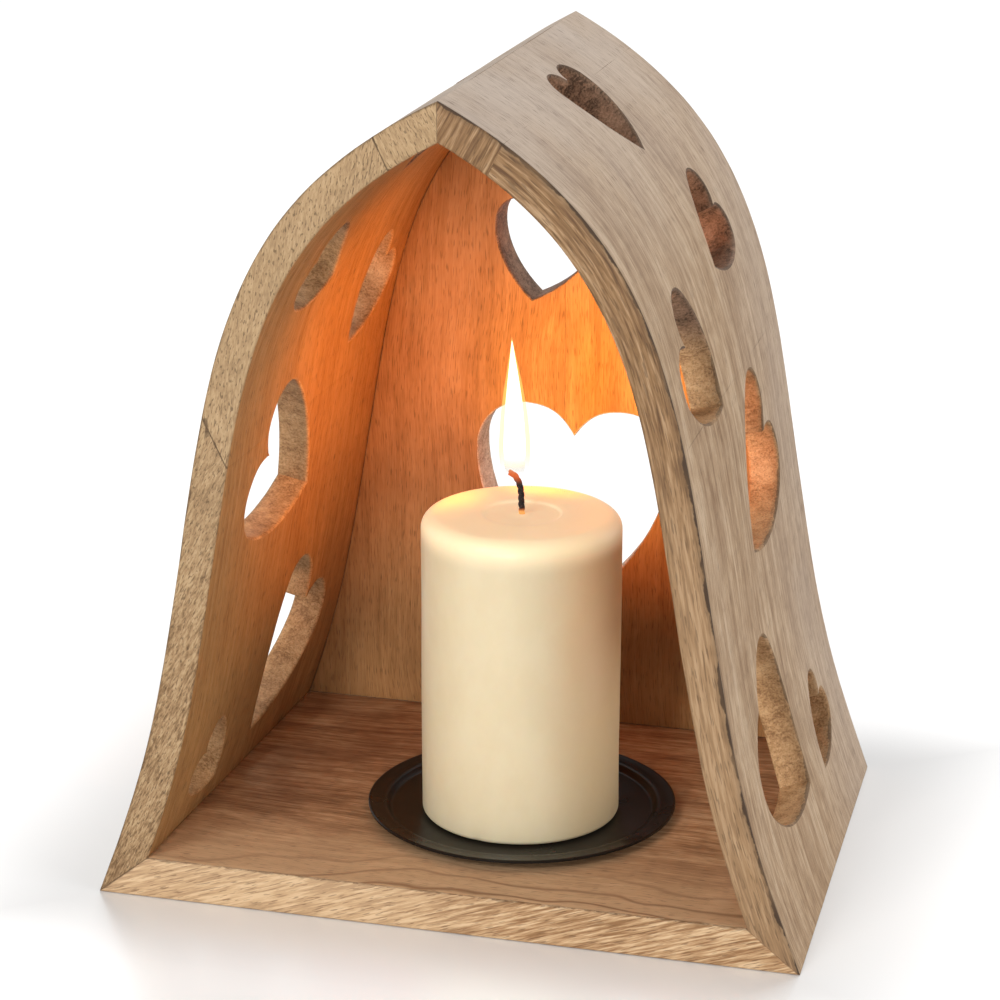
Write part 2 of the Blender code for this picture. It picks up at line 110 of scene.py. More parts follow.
@dataclass(frozen=True)
class ArchShape:
    """Outer line of the arch in the front view, and how it narrows to the rear."""

    half_width: float = 0.1225
    height: float = 0.2822
    depth: float = 0.182
    rear_taper: float = 0.045
    wall: float = 0.0117
    base: float = 0.0145
    foot_angle: float = math.radians(68.5)
    middle_angle: float = math.radians(79.6)
    apex_angle: float = math.radians(26.4)
    middle_half_width: float = 0.0936
    middle_height: float = 0.1013
    foot_reach: float = 0.49
    middle_reach_down: float = 0.335
    middle_reach_up: float = 0.43
    apex_reach: float = 0.423
    steps: int = 90

    @property
    def front(self) -> float:
        """Depth of the front edge."""
        return -self.depth / 2

    def lean(self, angle: float) -> np.ndarray:
        """Unit direction in the front view that leans towards the middle."""
        return np.array([-math.cos(angle), math.sin(angle)])

    def line(self) -> tuple[np.ndarray, np.ndarray, np.ndarray]:
        """Samples the right wall's outer line from foot to apex.

        Returns:
            Distances along the line, points (x, z), and unit directions.
        """
        foot = np.array([self.half_width, 0.0])
        middle = np.array([self.middle_half_width, self.middle_height])
        apex = np.array([0.0, self.height])
        lower = np.linalg.norm(middle - foot)
        upper = np.linalg.norm(apex - middle)
        start, bend, end = map(self.lean, (self.foot_angle, self.middle_angle, self.apex_angle))
        stretches = (
            (foot, foot + start * lower * self.foot_reach,
             middle - bend * lower * self.middle_reach_down, middle),
            (middle, middle + bend * upper * self.middle_reach_up,
             apex - end * upper * self.apex_reach, apex))
        points, ways = [foot], [start]
        for stretch in stretches:
            more_points, more_ways = cubic(*stretch, self.steps)
            points += more_points
            ways += [way / np.linalg.norm(way) for way in more_ways]
        points = np.array(points)
        steps = np.linalg.norm(np.diff(points, axis=0), axis=1)
        return np.concatenate([[0.0], np.cumsum(steps)]), points, np.array(ways)

    def share(self, y: np.ndarray) -> np.ndarray:
        """Width of the arch at a depth, as a share of its width at the front edge."""
        return 1.0 - self.rear_taper * (y - self.front) / self.depth

    def inner_line(self, gap: float = 0.0) -> np.ndarray:
        """The wall's inner line, with a gap to it."""
        _, line, ways = self.line()
        return line + np.column_stack([-ways[:, 1], ways[:, 0]]) * (self.wall + gap)

    def at(self, share: float) -> np.ndarray:
        """The point at a share of the outer line's length."""
        distances, line, _ = self.line()
        return np.array([np.interp(share * distances[-1], distances, column) for column in line.T])

    def narrow(self, shape: Shape) -> None:
        """Narrows a mesh towards the rear as the arch narrows."""
        for vert in shape.verts:
            vert.co.x *= self.share(vert.co.y)


@dataclass(frozen=True)
class Heart:
    """One heart opening: its place as shares of the board, its size and its turn."""

    across: float
    up: float
    width: float
    tallness: float
    turn: float
    notch: float
    flare: float = 0.066

    def outline(self, steps: int = 12) -> Loop:
        """Points round the heart, its middle at the origin.

        Args:
            steps: how many points each of a lobe's curves has.

        Returns:
            The loop, anticlockwise, with across to the right and up upwards.
        """
        w, h = self.width, self.width * self.tallness
        top = h / 2
        shoulder = top - 0.24 * w
        low = top - self.notch * w
        run = 0.30 * (shoulder + top)
        curves = (
            ((0, low), (self.flare * w, (low + 2 * top) / 3), (0.12 * w, top), (0.26 * w, top)),
            ((0.26 * w, top), (0.40 * w, top), (w / 2, (shoulder + top) / 2), (w / 2, shoulder)),
            ((w / 2, shoulder), (w / 2, shoulder - run), (0.34 * w, run - top), (0, -top)),
        )
        half = [np.array(curves[0][0], float)]
        for curve in curves:
            half += cubic(*map(np.array, curve), steps)[0]
        right = np.array(half)
        left = right[1:-1][::-1] * (-1, 1)
        whole = np.vstack([right, left])[::-1]
        angle = math.radians(self.turn)
        cos, sin = math.cos(angle), math.sin(angle)
        return whole @ np.array([[cos, -sin], [sin, cos]]).T


# Boards with rounded arrises and openings


def turned_anticlockwise(loop: Loop) -> Loop:
    """The loop with the inside on its left."""
    x, y = loop.T
    area = np.sum(x * np.roll(y, -1) - np.roll(x, -1) * y)
    return loop if area > 0 else loop[::-1]


def with_even_steps(loop: Loop, step: float) -> Loop:
    """Adds points to a loop so that none of its sides is longer than a step."""
    points = []
    for start, end in zip(loop, np.roll(loop, -1, axis=0)):
        count = max(1, math.ceil(np.linalg.norm(end - start) / step))
        points += [start + (end - start) * i / count for i in range(count)]
    return np.array(points)


def crossed_sides(loop: Loop) -> np.ndarray:
    """Which sides of a loop cross another side that isn't next to them."""
    way = np.roll(loop, -1, axis=0) - loop
    gap = loop[None] - loop[:, None]
    slant = way[:, None, 0] * way[None, :, 1] - way[:, None, 1] * way[None, :, 0]
    slant = np.where(np.abs(slant) < 1e-16, np.inf, slant)
    mine = (gap[..., 0] * way[None, :, 1] - gap[..., 1] * way[None, :, 0]) / slant
    other = (gap[..., 0] * way[:, None, 1] - gap[..., 1] * way[:, None, 0]) / slant
    hit = (mine > 0) & (mine < 1) & (other > 0) & (other < 1)
    return hit.any(axis=1)


# Limits of drawing a rim in, and of filling a face
LEAST_MITRE = 0.45
ROOM_SHARE = 0.4
ROOM_TRIES = 60
ROOM_SHRINK = 0.85
FOLDED_SHARE = 0.25
ROW_SHARE = 0.87
CLEAR_SHARE = 0.55
BATCH = 500


@dataclass(frozen=True)
class Rim:
    """A loop with the way into the board at each point, and the room that it has."""

    loop: Loop
    ways: np.ndarray
    room: np.ndarray

    @classmethod
    def of(cls, loop: Loop, reach: float) -> "Rim":
        """Finds the mitred way to the left of a loop, and how far it may go.

        Args:
            loop: the loop, the board on its left.
            reach: the furthest that the loop is to be drawn in.

        Returns:
            The rim. Its room ends well before the far side of a narrow spike, and before
            its neighbours fold over at a tight corner.
        """
        before = loop - np.roll(loop, 1, axis=0)
        after = np.roll(loop, -1, axis=0) - loop
        normals = []
        for way in (before, after):
            way = way / np.linalg.norm(way, axis=1)[:, None]
            normals.append(np.stack([-way[:, 1], way[:, 0]], axis=1))
        middle = normals[0] + normals[1]
        middle /= np.maximum(np.linalg.norm(middle, axis=1), 1e-9)[:, None]
        ways = middle / np.maximum(np.sum(middle * normals[0], axis=1), LEAST_MITRE)[:, None]
        count = len(loop)
        room = np.full(count, reach)
        for i in range(count):
            start = loop - loop[i]
            turned = ways[i, 0] * after[:, 1] - ways[i, 1] * after[:, 0]
            turned = np.where(np.abs(turned) < 1e-12, 1e-12, turned)
            far = (start[:, 0] * after[:, 1] - start[:, 1] * after[:, 0]) / turned
            share = (start[:, 0] * ways[i, 1] - start[:, 1] * ways[i, 0]) / turned
            hit = (far > 1e-7) & (share >= 0) & (share <= 1)
            hit[[i, i - 1]] = False
            if hit.any():
                room[i] = min(reach, ROOM_SHARE * far[hit].min())
        length = np.sum(after * after, axis=1)
        for _ in range(ROOM_TRIES):
            moved = loop + ways * room[:, None]
            side = np.roll(moved, -1, axis=0) - moved
            folded = np.sum(side * after, axis=1) < FOLDED_SHARE * length
            folded |= crossed_sides(moved)
            if not folded.any():
                break
            room[folded | np.roll(folded, 1)] *= ROOM_SHRINK
        return cls(loop, ways, room)

    def drawn_in(self, distance: float) -> Loop:
        """The loop moved into the board by a distance, less where there is no room."""
        return self.loop + self.ways * np.minimum(distance, self.room)[:, None]


def inside(points: np.ndarray, loop: Loop) -> np.ndarray:
    """Which of the points lie within a loop."""
    x, y = points.T
    hit = np.zeros(len(points), bool)
    for (ax, ay), (bx, by) in zip(loop, np.roll(loop, -1, axis=0)):
        if ay != by:
            crosses = (ay > y) != (by > y)
            hit ^= crosses & (x < (bx - ax) * (y - ay) / (by - ay) + ax)
    return hit


def within(points: np.ndarray, rims: Sequence[Loop]) -> np.ndarray:
    """Which of the points lie in the first rim and in none of the others."""
    kept = inside(points, rims[0])
    for rim in rims[1:]:
        kept &= ~inside(points, rim)
    return kept


def pitch_grid(loop: Loop, pitch: float) -> np.ndarray:
    """Rows of points, every other row shifted, over the box of a loop."""
    low, high = loop.min(0), loop.max(0)
    rows = []
    for i, y in enumerate(np.arange(low[1], high[1], pitch * ROW_SHARE)):
        xs = np.arange(low[0] + (i % 2) * pitch / 2, high[0], pitch)
        rows.append(np.stack([xs, np.full(len(xs), y)], axis=1))
    return np.vstack(rows)


@dataclass
class Board:
    """A board or curved wall as a closed shell with rounded arrises and openings.

    Points are laid out as (a, b, depth): a and b across the faces, and depth from the
    outer face inwards.
    """

    outline: Loop
    openings: Sequence[Loop]
    thickness: float
    rounding: float = 0.0008
    opening_rounding: float = 0.0005
    pitch: float = 0.0032
    step: float = 0.0012
    arc_steps: int = 3
    rows: int = 6

    def shell(self) -> tuple[np.ndarray, list[tuple[int, ...]], list[Face]]:
        """Builds the shell.

        Returns:
            Points, polygons that point outwards for a right-handed (a, b, -depth)
            layout, and the face of the board that each polygon lies on.
        """
        loops = [with_even_steps(turned_anticlockwise(self.outline), self.step)]
        for opening in self.openings:
            loops.append(with_even_steps(turned_anticlockwise(opening), self.step)[::-1])
        radii = [self.rounding] + [self.opening_rounding] * len(self.openings)
        rims = [Rim.of(loop, radius) for loop, radius in zip(loops, radii)]
        flat, triangles = self.face_mesh([r.drawn_in(d) for r, d in zip(rims, radii)])
        count = len(flat)
        points = [np.column_stack([flat, np.zeros(count)])]
        points.append(np.column_stack([flat, np.full(count, self.thickness)]))
        polygons: list[tuple[int, ...]] = [tuple(t) for t in triangles]
        polygons += [tuple(count + i for i in reversed(t)) for t in triangles]
        faces = [Face.OUTER] * len(triangles) + [Face.INNER] * len(triangles)
        used = 2 * count
        first = 0
        for number, (rim, radius) in enumerate(zip(rims, radii)):
            size = len(rim.loop)
            rings = [list(range(first, first + size))]
            for offset, depth in self.wall_rows(radius):
                ring = rim.drawn_in(offset)
                points.append(np.column_stack([ring, np.full(size, depth)]))
                rings.append(list(range(used, used + size)))
                used += size
            rings.append([count + i for i in rings[0]])
            for upper, lower in zip(rings, rings[1:]):
                for i in range(size):
                    j = (i + 1) % size
                    polygons.append((upper[i], lower[i], lower[j], upper[j]))
                    faces.append(Face.CUT if number else Face.EDGE)
            first += size
        return np.vstack(points), polygons, faces

    def wall_rows(self, radius: float) -> list[Pair]:
        """How far each ring down an edge is drawn in, and its depth."""
        angles = [i / self.arc_steps * math.pi / 2 for i in range(1, self.arc_steps + 1)]
        top = [(radius * (1 - math.sin(a)), radius * (1 - math.cos(a))) for a in angles]
        straight = self.thickness - 2 * radius
        middle = [(0.0, radius + straight * i / self.rows) for i in range(1, self.rows)]
        bottom = [(offset, self.thickness - depth) for offset, depth in reversed(top)]
        return top + middle + bottom

    def face_mesh(self, rims: Sequence[Loop]) -> tuple[np.ndarray, np.ndarray]:
        """Fills the face between the rims with even triangles, the rims' points first."""
        grid = pitch_grid(rims[0], self.pitch)
        grid = grid[within(grid, rims)]
        edge_points = np.vstack(rims)
        clear = np.ones(len(grid), bool)
        for start in range(0, len(grid), BATCH):
            part = grid[start : start + BATCH]
            gap = np.linalg.norm(part[:, None] - edge_points[None], axis=2).min(1)
            clear[start : start + BATCH] = gap > CLEAR_SHARE * self.pitch
        flat = np.vstack([edge_points, grid[clear]])
        edges = []
        first = 0
        for rim in rims:
            edges += [(first + i, first + (i + 1) % len(rim)) for i in range(len(rim))]
            first += len(rim)
        verts, _, faces, origin, _, _ = delaunay_2d_cdt(
            [Vector(p) for p in flat], edges, [], 0, 1e-7)
        if len(verts) != len(flat):
            raise ValueError("two rims of a board touch")
        index = [source[0] for source in origin]
        triangles = np.array([[index[i] for i in face] for face in faces])
        return flat, triangles[within(flat[triangles].mean(1), rims)]


def board_mesh(board: Board, place: Callable, flip: bool = False) -> Shape:
    """Lays a board out in space as an edit mesh.

    Args:
        board: the board to lay out.
        place: turns (a, b, depth) rows into (x, y, z) rows.
        flip: whether the layout turns the shell inside out.

    Returns:
        The mesh, with the layers "grain" (a, b, depth) on its points and "face" on its
        polygons.
    """
    points, polygons, faces = board.shell()
    shape = bmesh.new()
    grain = shape.verts.layers.float_vector.new("grain")
    kind = shape.faces.layers.float.new("face")
    corners = []
    for where, flat in zip(place(points), points):
        vert = shape.verts.new(where)
        vert[grain] = flat
        corners.append(vert)
    for polygon, face in zip(polygons, faces):
        order = reversed(polygon) if flip else polygon
        made = shape.faces.new([corners[i] for i in order])
        made[kind] = face.value
    return shape


def slice_off(shape: Shape, point: Sequence[float], keep: Sequence[float],
              sign: int = 1) -> None:
    """Cuts a closed mesh with a plane that stands square to the front, and closes the cut.

    Args:
        shape: the mesh.
        point: a point (x, z) on the plane.
        keep: the direction (x, z), square to the plane, of the side that stays.
        sign: -1 to mirror the plane to the left.
    """
    kind = shape.faces.layers.float["face"]
    cut = bmesh.ops.bisect_plane(
        shape, geom=shape.verts[:] + shape.edges[:] + shape.faces[:], dist=1e-7,
        plane_co=(sign * point[0], 0.0, point[1]), plane_no=(sign * keep[0], 0.0, keep[1]),
        clear_inner=True)
    rim = [e for e in cut["geom_cut"] if isinstance(e, bmesh.types.BMEdge) and e.is_boundary]
    filled = bmesh.ops.holes_fill(shape, edges=rim, sides=0)
    for face in filled["faces"]:
        face[kind] = Face.JOINT.value


def sanded(shape: Shape, amount: float, seed: float, coarse: float = 28.0,
           fine: float = 110.0, fine_share: float = 0.35) -> None:
    """Gives a surface the slight unevenness of sanding by hand."""
    shape.normal_update()
    moves = []
    for vert in shape.verts:
        broad = noise.noise(vert.co * coarse + Vector((seed, seed * 0.7, -seed)))
        small = noise.noise(vert.co * fine + Vector((seed, -seed, seed * 1.3)))
        moves.append(vert.normal * amount * (broad + fine_share * small))
    for vert, move in zip(shape.verts, moves):
        vert.co += move


def mark(shape: Shape, name: str, rule: Callable) -> None:
    """Gives each point a value by a rule: a distance for seams, a place for flecks."""
    layers = shape.verts.layers
    layer = (layers.float if name == "seam" else layers.float_vector).new(name)
    for vert in shape.verts:
        vert[layer] = rule(vert)


def linked(name: str, data: bpy.types.ID) -> Piece:
    """A new object in the scene."""
    made = bpy.data.objects.new(name, data)
    bpy.context.scene.collection.objects.link(made)
    return made


def finished_piece(name: str, shape: Shape, material: Material, sharp: float = 40.0) -> Piece:
    """Turns an edit mesh into a smooth shaded piece at the origin.

    Args:
        name: the piece's name.
        shape: the edit mesh, which is used up.
        material: its finish.
        sharp: the angle in degrees above which an edge stays sharp.

    Returns:
        The new object.
    """
    mesh = bpy.data.meshes.new(name)
    shape.to_mesh(mesh)
    shape.free()
    mesh.shade_smooth()
    mesh.set_sharp_from_angle(angle=math.radians(sharp))
    mesh.materials.append(material)
    return linked(name, mesh)


def settle(piece: Piece, body: str, slot: str, *nodes: str) -> None:
    """Ties a piece to its body and hides the frame nodes that it stands for."""
    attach(piece, body)
    if nodes:
        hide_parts(*nodes)
    LOG.info("%s: %d polygons on %s", piece.name, len(piece.data.polygons), body)


# Finishes


class NodeTree:
    """A node tree under construction."""

    def __init__(self, tree: bpy.types.NodeTree) -> None:
        """Takes up a tree."""
        self.nodes, self.links = tree.nodes, tree.links

    def put(self, socket: Socket, value) -> None:
        """Links a socket to another one, or gives it a plain value."""
        if isinstance(value, Socket):
            self.links.new(value, socket)
        else:
            socket.default_value = value

    def node(self, kind: str, inputs: Optional[dict] = None, **settings) -> bpy.types.Node:
        """Adds a node.

        Args:
            kind: the node's type name.
            inputs: socket name or number, and the value or the socket linked to it.
            settings: attributes of the node itself.

        Returns:
            The node.
        """
        made = self.nodes.new(kind)
        for key, value in settings.items():
            setattr(made, key, value)
        for key, value in (inputs or {}).items():
            self.put(made.inputs[key], value)
        return made

    def math(self, operation: str, *values) -> Socket:
        """One sum on up to three values."""
        return self.node("ShaderNodeMath", dict(enumerate(values)), operation=operation).outputs[0]

    def times(self, a, b) -> Socket:
        """One value times another."""
        return self.math("MULTIPLY", a, b)

    def minus(self, a, b) -> Socket:
        """One value less another."""
        return self.math("SUBTRACT", a, b)


class Finish(NodeTree):
    """A node material under construction."""

    def __init__(self, name: str) -> None:
        """Starts a material with one principled shader."""
        self.material = bpy.data.materials.new(name)
        self.material.use_nodes = True
        super().__init__(self.material.node_tree)
        self.shader = self.nodes["Principled BSDF"]

    def attribute(self, name: str, output: str = "Vector") -> Socket:
        """Reads a value that the mesh carries."""
        return self.node("ShaderNodeAttribute", attribute_name=name).outputs[output]

    def place(self) -> Socket:
        """The piece's own coordinates, in metres."""
        return self.node("ShaderNodeTexCoord").outputs["Object"]

    def split(self, vector: Socket) -> list[Socket]:
        """The three parts of a vector."""
        return list(self.node("ShaderNodeSeparateXYZ", {0: vector}).outputs)

    def scaled(self, vector: Socket, scale: Triple, shift: Triple = (0.0, 0.0, 0.0)) -> Socket:
        """Stretches and shifts a pattern's coordinates."""
        return self.node("ShaderNodeMapping", {
            "Vector": vector, "Scale": scale, "Location": shift}).outputs["Vector"]

    def pushed(self, vector: Socket, **parts) -> Socket:
        """Moves a vector by its X, Y or Z part."""
        push = self.node("ShaderNodeCombineXYZ", parts).outputs[0]
        return self.node("ShaderNodeVectorMath", {0: vector, 1: push}, operation="ADD").outputs[0]

    def length(self, vector: Socket) -> Socket:
        """How long a vector is."""
        return self.node("ShaderNodeVectorMath", {0: vector}, operation="LENGTH").outputs["Value"]

    def noise(self, vector: Socket, scale: float = 1.0, detail: float = 3.0,
              roughness: float = 0.55) -> Socket:
        """Cloudy noise from 0 to 1."""
        return self.node("ShaderNodeTexNoise", {
            "Vector": vector, "Scale": scale, "Detail": detail,
            "Roughness": roughness}).outputs["Fac"]

    def between(self, value, low: float, high: float, start: float = 0.0,
                end: float = 1.0) -> Socket:
        """A smooth ramp from start to end as a value goes from low to high."""
        return self.node("ShaderNodeMapRange", {
            "Value": value, "From Min": low, "From Max": high, "To Min": start, "To Max": end},
            interpolation_type="SMOOTHSTEP").outputs["Result"]

    def mix(self, share, a, b) -> Socket:
        """Mixes two colours."""
        made = self.node("ShaderNodeMix", data_type="RGBA")
        for key, value in ((0, share), (6, a), (7, b)):
            self.put(made.inputs[key], (*value, 1.0) if isinstance(value, tuple) else value)
        return made.outputs[2]

    def ramp(self, value, stops: Sequence[tuple[float, Colour]]) -> Socket:
        """A colour ramp through the given stops."""
        made = self.node("ShaderNodeValToRGB", {"Fac": value})
        elements = made.color_ramp.elements
        while len(elements) < len(stops):
            elements.new(0.5)
        for element, (position, colour) in zip(elements, stops):
            element.position = position
            element.color = (*colour, 1.0)
        return made.outputs["Color"]

    def bump(self, height, strength: float, distance: float) -> None:
        """Raises the surface by a height pattern."""
        self.set(Normal=self.node("ShaderNodeBump", {
            "Height": height, "Strength": strength, "Distance": distance}).outputs["Normal"])

    def set(self, **values) -> None:
        """Sets or links the shader's sockets, named with _ for a space."""
        for key, value in values.items():
            self.put(self.shader.inputs[key.replace("_", " ")], value)


@dataclass(frozen=True)
class Tones:
    """The tones of one kind of face, from its darkest grain to its palest."""

    dark: Colour
    middle: Colour
    pale: Colour

    def stops(self, low: float, high: float) -> tuple[tuple[float, Colour], ...]:
        """Ramp stops with the dark tone at low and the pale tone at high."""
        return ((low, self.dark), ((low + high) / 2, self.middle), (high, self.pale))


class Pattern(Enum):
    """Cloudy patterns of the wood: how many to a metre, detail and roughness."""

    WANDER = (7.0, 2.0, 0.55)
    CLOUD = (14.0, 3.0, 0.55)
    RING_BEND = (16.0, 2.0, 0.55)
    ARRIS_STRETCH = (22.0, 2.0, 0.55)
    BLOTCH = (26.0, 3.0, 0.6)
    ARRIS_WIDTH = (55.0, 2.0, 0.55)
    MOTTLE = (110.0, 3.0, 0.6)
    SEAM_RAG = (300.0, 2.0, 0.55)
    ARRIS_RAG = (320.0, 3.0, 0.6)
    GRIT = (1250.0, 2.0, 0.6)
    SPECK = (1700.0, 2.0, 0.6)


class GrainLayer(Enum):
    """Layers of the pattern along the fibres: share, stretch, detail and roughness."""

    BANDS = (0.26, (5.0, 55.0, 45.0), 3.0, 0.6)
    MOTTLE = (0.16, (60.0, 130.0, 130.0), 2.0, 0.6)
    STREAKS = (0.32, (15.0, 420.0, 420.0), 3.0, 0.65)
    FIBRES = (0.26, (130.0, 2300.0, 2300.0), 2.0, 0.6)


@dataclass(frozen=True)
class WoodFinish:
    """Sanded mango wood, with open pores and a pattern for each kind of face.

    The fields say how strong each mark is, and over which heights or depths it comes up.
    """

    name: str
    outer: Tones
    inner: Tones
    edge: Tones
    cut: Tones
    # Painted shade: darker tones for the cut faces high up.
    painted_shade_cut: Tones = Tones((0.06, 0.035, 0.02), (0.24, 0.14, 0.085), (0.36, 0.22, 0.14))
    grey: Colour = (0.56, 0.47, 0.40)
    grey_share: float = 0.0
    pore: Colour = (0.07, 0.038, 0.018)
    arris: float = 0.5
    arris_width: float = 0.0003
    # Painted shade: strength of the soft band beside the arris line.
    arris_painted_shade: float = 0.0
    arris_outer: float = 0.0
    front: float = -0.091
    stroke: Pair = (330.0, 1500.0)
    stroke_contrast: float = 0.24
    edge_pores: float = 0.6
    edge_dash: Pair = (520.0, 1900.0)
    ring_lines: float = 0.0
    high_pale: float = 0.0
    pale_span: Pair = (0.10, 0.27)
    blotches: float = 0.2
    seam_show: float = 0.0
    # Painted shade: the heights over which the cut faces darken.
    painted_shade_from: Pair = (0.186, 0.204)
    # Painted light: how much paler the outer face turns towards the front edge.
    painted_front_light: float = 0.0
    contrast: Pair = (0.415, 0.585)
    arris_colour: Colour = (0.05, 0.027, 0.013)
    dash: Triple = (210.0, 2300.0, 2300.0)
    painted_front_light_span: Pair = (-0.03, -0.085)

    def material(self) -> Material:
        """Builds the material.

        Returns:
            The material, for a board with the layers "grain", "fleck", "seam" and "face".
        """
        f = Finish(self.name)
        grain = f.attribute("grain")
        kind = f.attribute("face", "Fac")
        wander = f.math("MULTIPLY_ADD", f.noise(grain, *Pattern.WANDER.value), 0.024, -0.012)
        along = f.pushed(grain, Y=wander)
        long_grain = self.long_grain(f, along)
        dashes = f.noise(f.scaled(along, self.dash), 1.0, 0.5)
        pores = f.between(dashes, 0.60, 0.70)
        blotches = f.between(f.noise(grain, *Pattern.BLOTCH.value), 0.42, 0.62, 0.0, self.blotches)

        outer = f.ramp(long_grain, self.outer.stops(*self.contrast))
        outer = f.mix(blotches, outer, self.outer.dark)
        # Painted light: the outer face paler towards the front edge.
        painted_front_light_share = f.between(f.split(grain)[1], *self.painted_front_light_span, 0.0, self.painted_front_light)
        outer = f.mix(painted_front_light_share, outer, self.outer.pale)
        outer = f.mix(f.times(self.greying(f, grain), self.grey_share), outer, self.grey)
        outer = f.mix(f.times(pores, 0.42), outer, self.pore)
        if self.ring_lines:
            outer = f.mix(self.rings(f, grain), outer, self.outer.dark)
        # Inner faces; on the walls their tones carry the flame's orange as painted light.
        inner = f.ramp(long_grain, self.inner.stops(0.32, 0.68))
        inner = f.mix(blotches, inner, self.inner.dark)
        inner = f.mix(f.times(pores, 0.6), inner, self.pore)
        edge, edge_height = self.edge_grain(f, f.attribute("fleck"))
        cut, cut_height = self.cut_grain(f, grain)

        colour = outer
        for face, tone in ((Face.INNER, inner), (Face.EDGE, edge), (Face.CUT, cut),
                           (Face.JOINT, self.edge.dark)):
            colour = f.mix(self.on(f, kind, face), colour, tone)
        colour = f.mix(self.arris_line(f, grain, kind), colour, self.arris_colour)
        seam = f.attribute("seam", "Fac")
        ragged = f.math("MULTIPLY_ADD", f.noise(grain, *Pattern.SEAM_RAG.value), 0.0007, -0.0001)
        seam_line = f.between(f.minus(seam, ragged), 0.0002, -0.0002, 0.0, self.seam_show)
        seam_line = f.times(seam_line, self.on(f, kind, Face.EDGE))
        colour = f.mix(seam_line, colour, self.pore)

        f.set(Base_Color=colour, Specular_IOR_Level=0.3)
        f.set(Roughness=f.between(long_grain, 0.4, 0.6, 0.72, 0.58))
        height = f.minus(f.times(long_grain, 1.5), pores)
        height = f.mix(self.on(f, kind, Face.EDGE), height, edge_height)
        height = f.mix(self.on(f, kind, Face.CUT), height, cut_height)
        f.bump(height, 0.4, 0.0004)
        return f.material

    @staticmethod
    def on(f: Finish, kind: Socket, face: Face) -> Socket:
        """1 on that kind of face, and 0 elsewhere."""
        return f.math("COMPARE", kind, float(face.value), 0.5)

    @staticmethod
    def long_grain(f: Finish, along: Socket) -> Socket:
        """Wood seen along its fibres: growth bands, streaks and fibres in one value."""
        value = 0.0
        for layer in GrainLayer:
            share, stretch, detail, roughness = layer.value
            pattern = f.noise(f.scaled(along, stretch), 1.0, detail, roughness)
            value = f.math("MULTIPLY_ADD", pattern, share, value)
        return value

    def greying(self, f: Finish, grain: Socket) -> Socket:
        """Where the outer face has greyed: up to the crown, and to the rear."""
        up, back, _ = f.split(grain)
        cloud = f.noise(grain, *Pattern.CLOUD.value)
        high = f.between(up, 0.20, 0.33)
        rear = f.between(back, -0.02, 0.10, 0.0, 0.5)
        both = f.math("MAXIMUM", high, rear)
        return f.times(both, f.between(cloud, 0.3, 0.6, 0.6, 1.0))

    def edge_grain(self, f: Finish, fleck: Socket) -> tuple[Socket, Socket]:
        """Wood cut across its fibres: strokes and open pores.

        Returns:
            The colour, and the height for the bump.
        """
        run, across = self.stroke
        patches = f.noise(f.scaled(fleck, (run / 8, across / 12, across / 12)), 1.0, 3.0, 0.6)
        strokes = f.noise(f.scaled(fleck, (run, across, across)), 1.0, 3.0, 0.6)
        value = f.math("MULTIPLY_ADD", strokes, 0.70, f.times(patches, 0.30))
        spread = self.stroke_contrast / 2
        colour = f.ramp(value, self.edge.stops(0.5 - spread, 0.5 + spread))
        dashes = f.noise(f.scaled(fleck, (*self.edge_dash, self.edge_dash[1]),
                                  shift=(3.0, 7.0, 1.0)), 1.0, 1.0, 0.5)
        pores = f.between(dashes, 0.60, 0.66)
        up = f.split(f.attribute("grain"))[0]
        colour = f.mix(f.between(up, *self.pale_span, 0.0, self.high_pale), colour, self.edge.pale)
        colour = f.mix(f.times(pores, self.edge_pores), colour, self.pore)
        return colour, f.minus(f.times(value, 1.6), pores)

    def cut_grain(self, f: Finish, grain: Socket) -> tuple[Socket, Socket]:
        """Sawn wood in the openings: mottled and speckled, with painted shade darker high up.

        Returns:
            The colour, and the height for the bump.
        """
        mottle = f.noise(grain, *Pattern.MOTTLE.value)
        swirl = f.pushed(grain, X=f.times(mottle, 0.012))
        saw = f.noise(f.scaled(swirl, (1100.0, 260.0, 260.0)), 1.0, 2.0, 0.6)
        grit = f.noise(grain, *Pattern.GRIT.value)
        value = f.math("MULTIPLY_ADD", saw, 0.30, f.times(mottle, 0.38))
        value = f.math("MULTIPLY_ADD", grit, 0.32, value)
        low = f.ramp(value, self.cut.stops(0.39, 0.61))
        # Painted shade: the cut faces' darker tones high up.
        high = f.ramp(value, self.painted_shade_cut.stops(0.39, 0.61))
        up = f.split(f.place())[2]
        colour = f.mix(f.between(up, *self.painted_shade_from), low, high)
        specks = f.between(f.noise(grain, *Pattern.SPECK.value), 0.57, 0.66)
        colour = f.mix(f.times(specks, 0.4), colour, self.pore)
        return colour, f.minus(value, f.times(specks, 0.8))

    def arris_line(self, f: Finish, grain: Socket, kind: Socket) -> Socket:
        """The dark ragged arris line: part burnt edge, part painted shade, with painted shade
        beside it.
        """
        _, back, depth = f.split(grain)
        wide = f.between(f.noise(grain, *Pattern.ARRIS_WIDTH.value), 0.35, 0.65, 0.1, 2.0)
        ragged = f.math("MULTIPLY_ADD", f.noise(grain, *Pattern.ARRIS_RAG.value), 0.0016, -0.0008)
        reach = f.math("MULTIPLY_ADD", wide, self.arris_width, ragged)
        gap = f.minus(depth, reach)
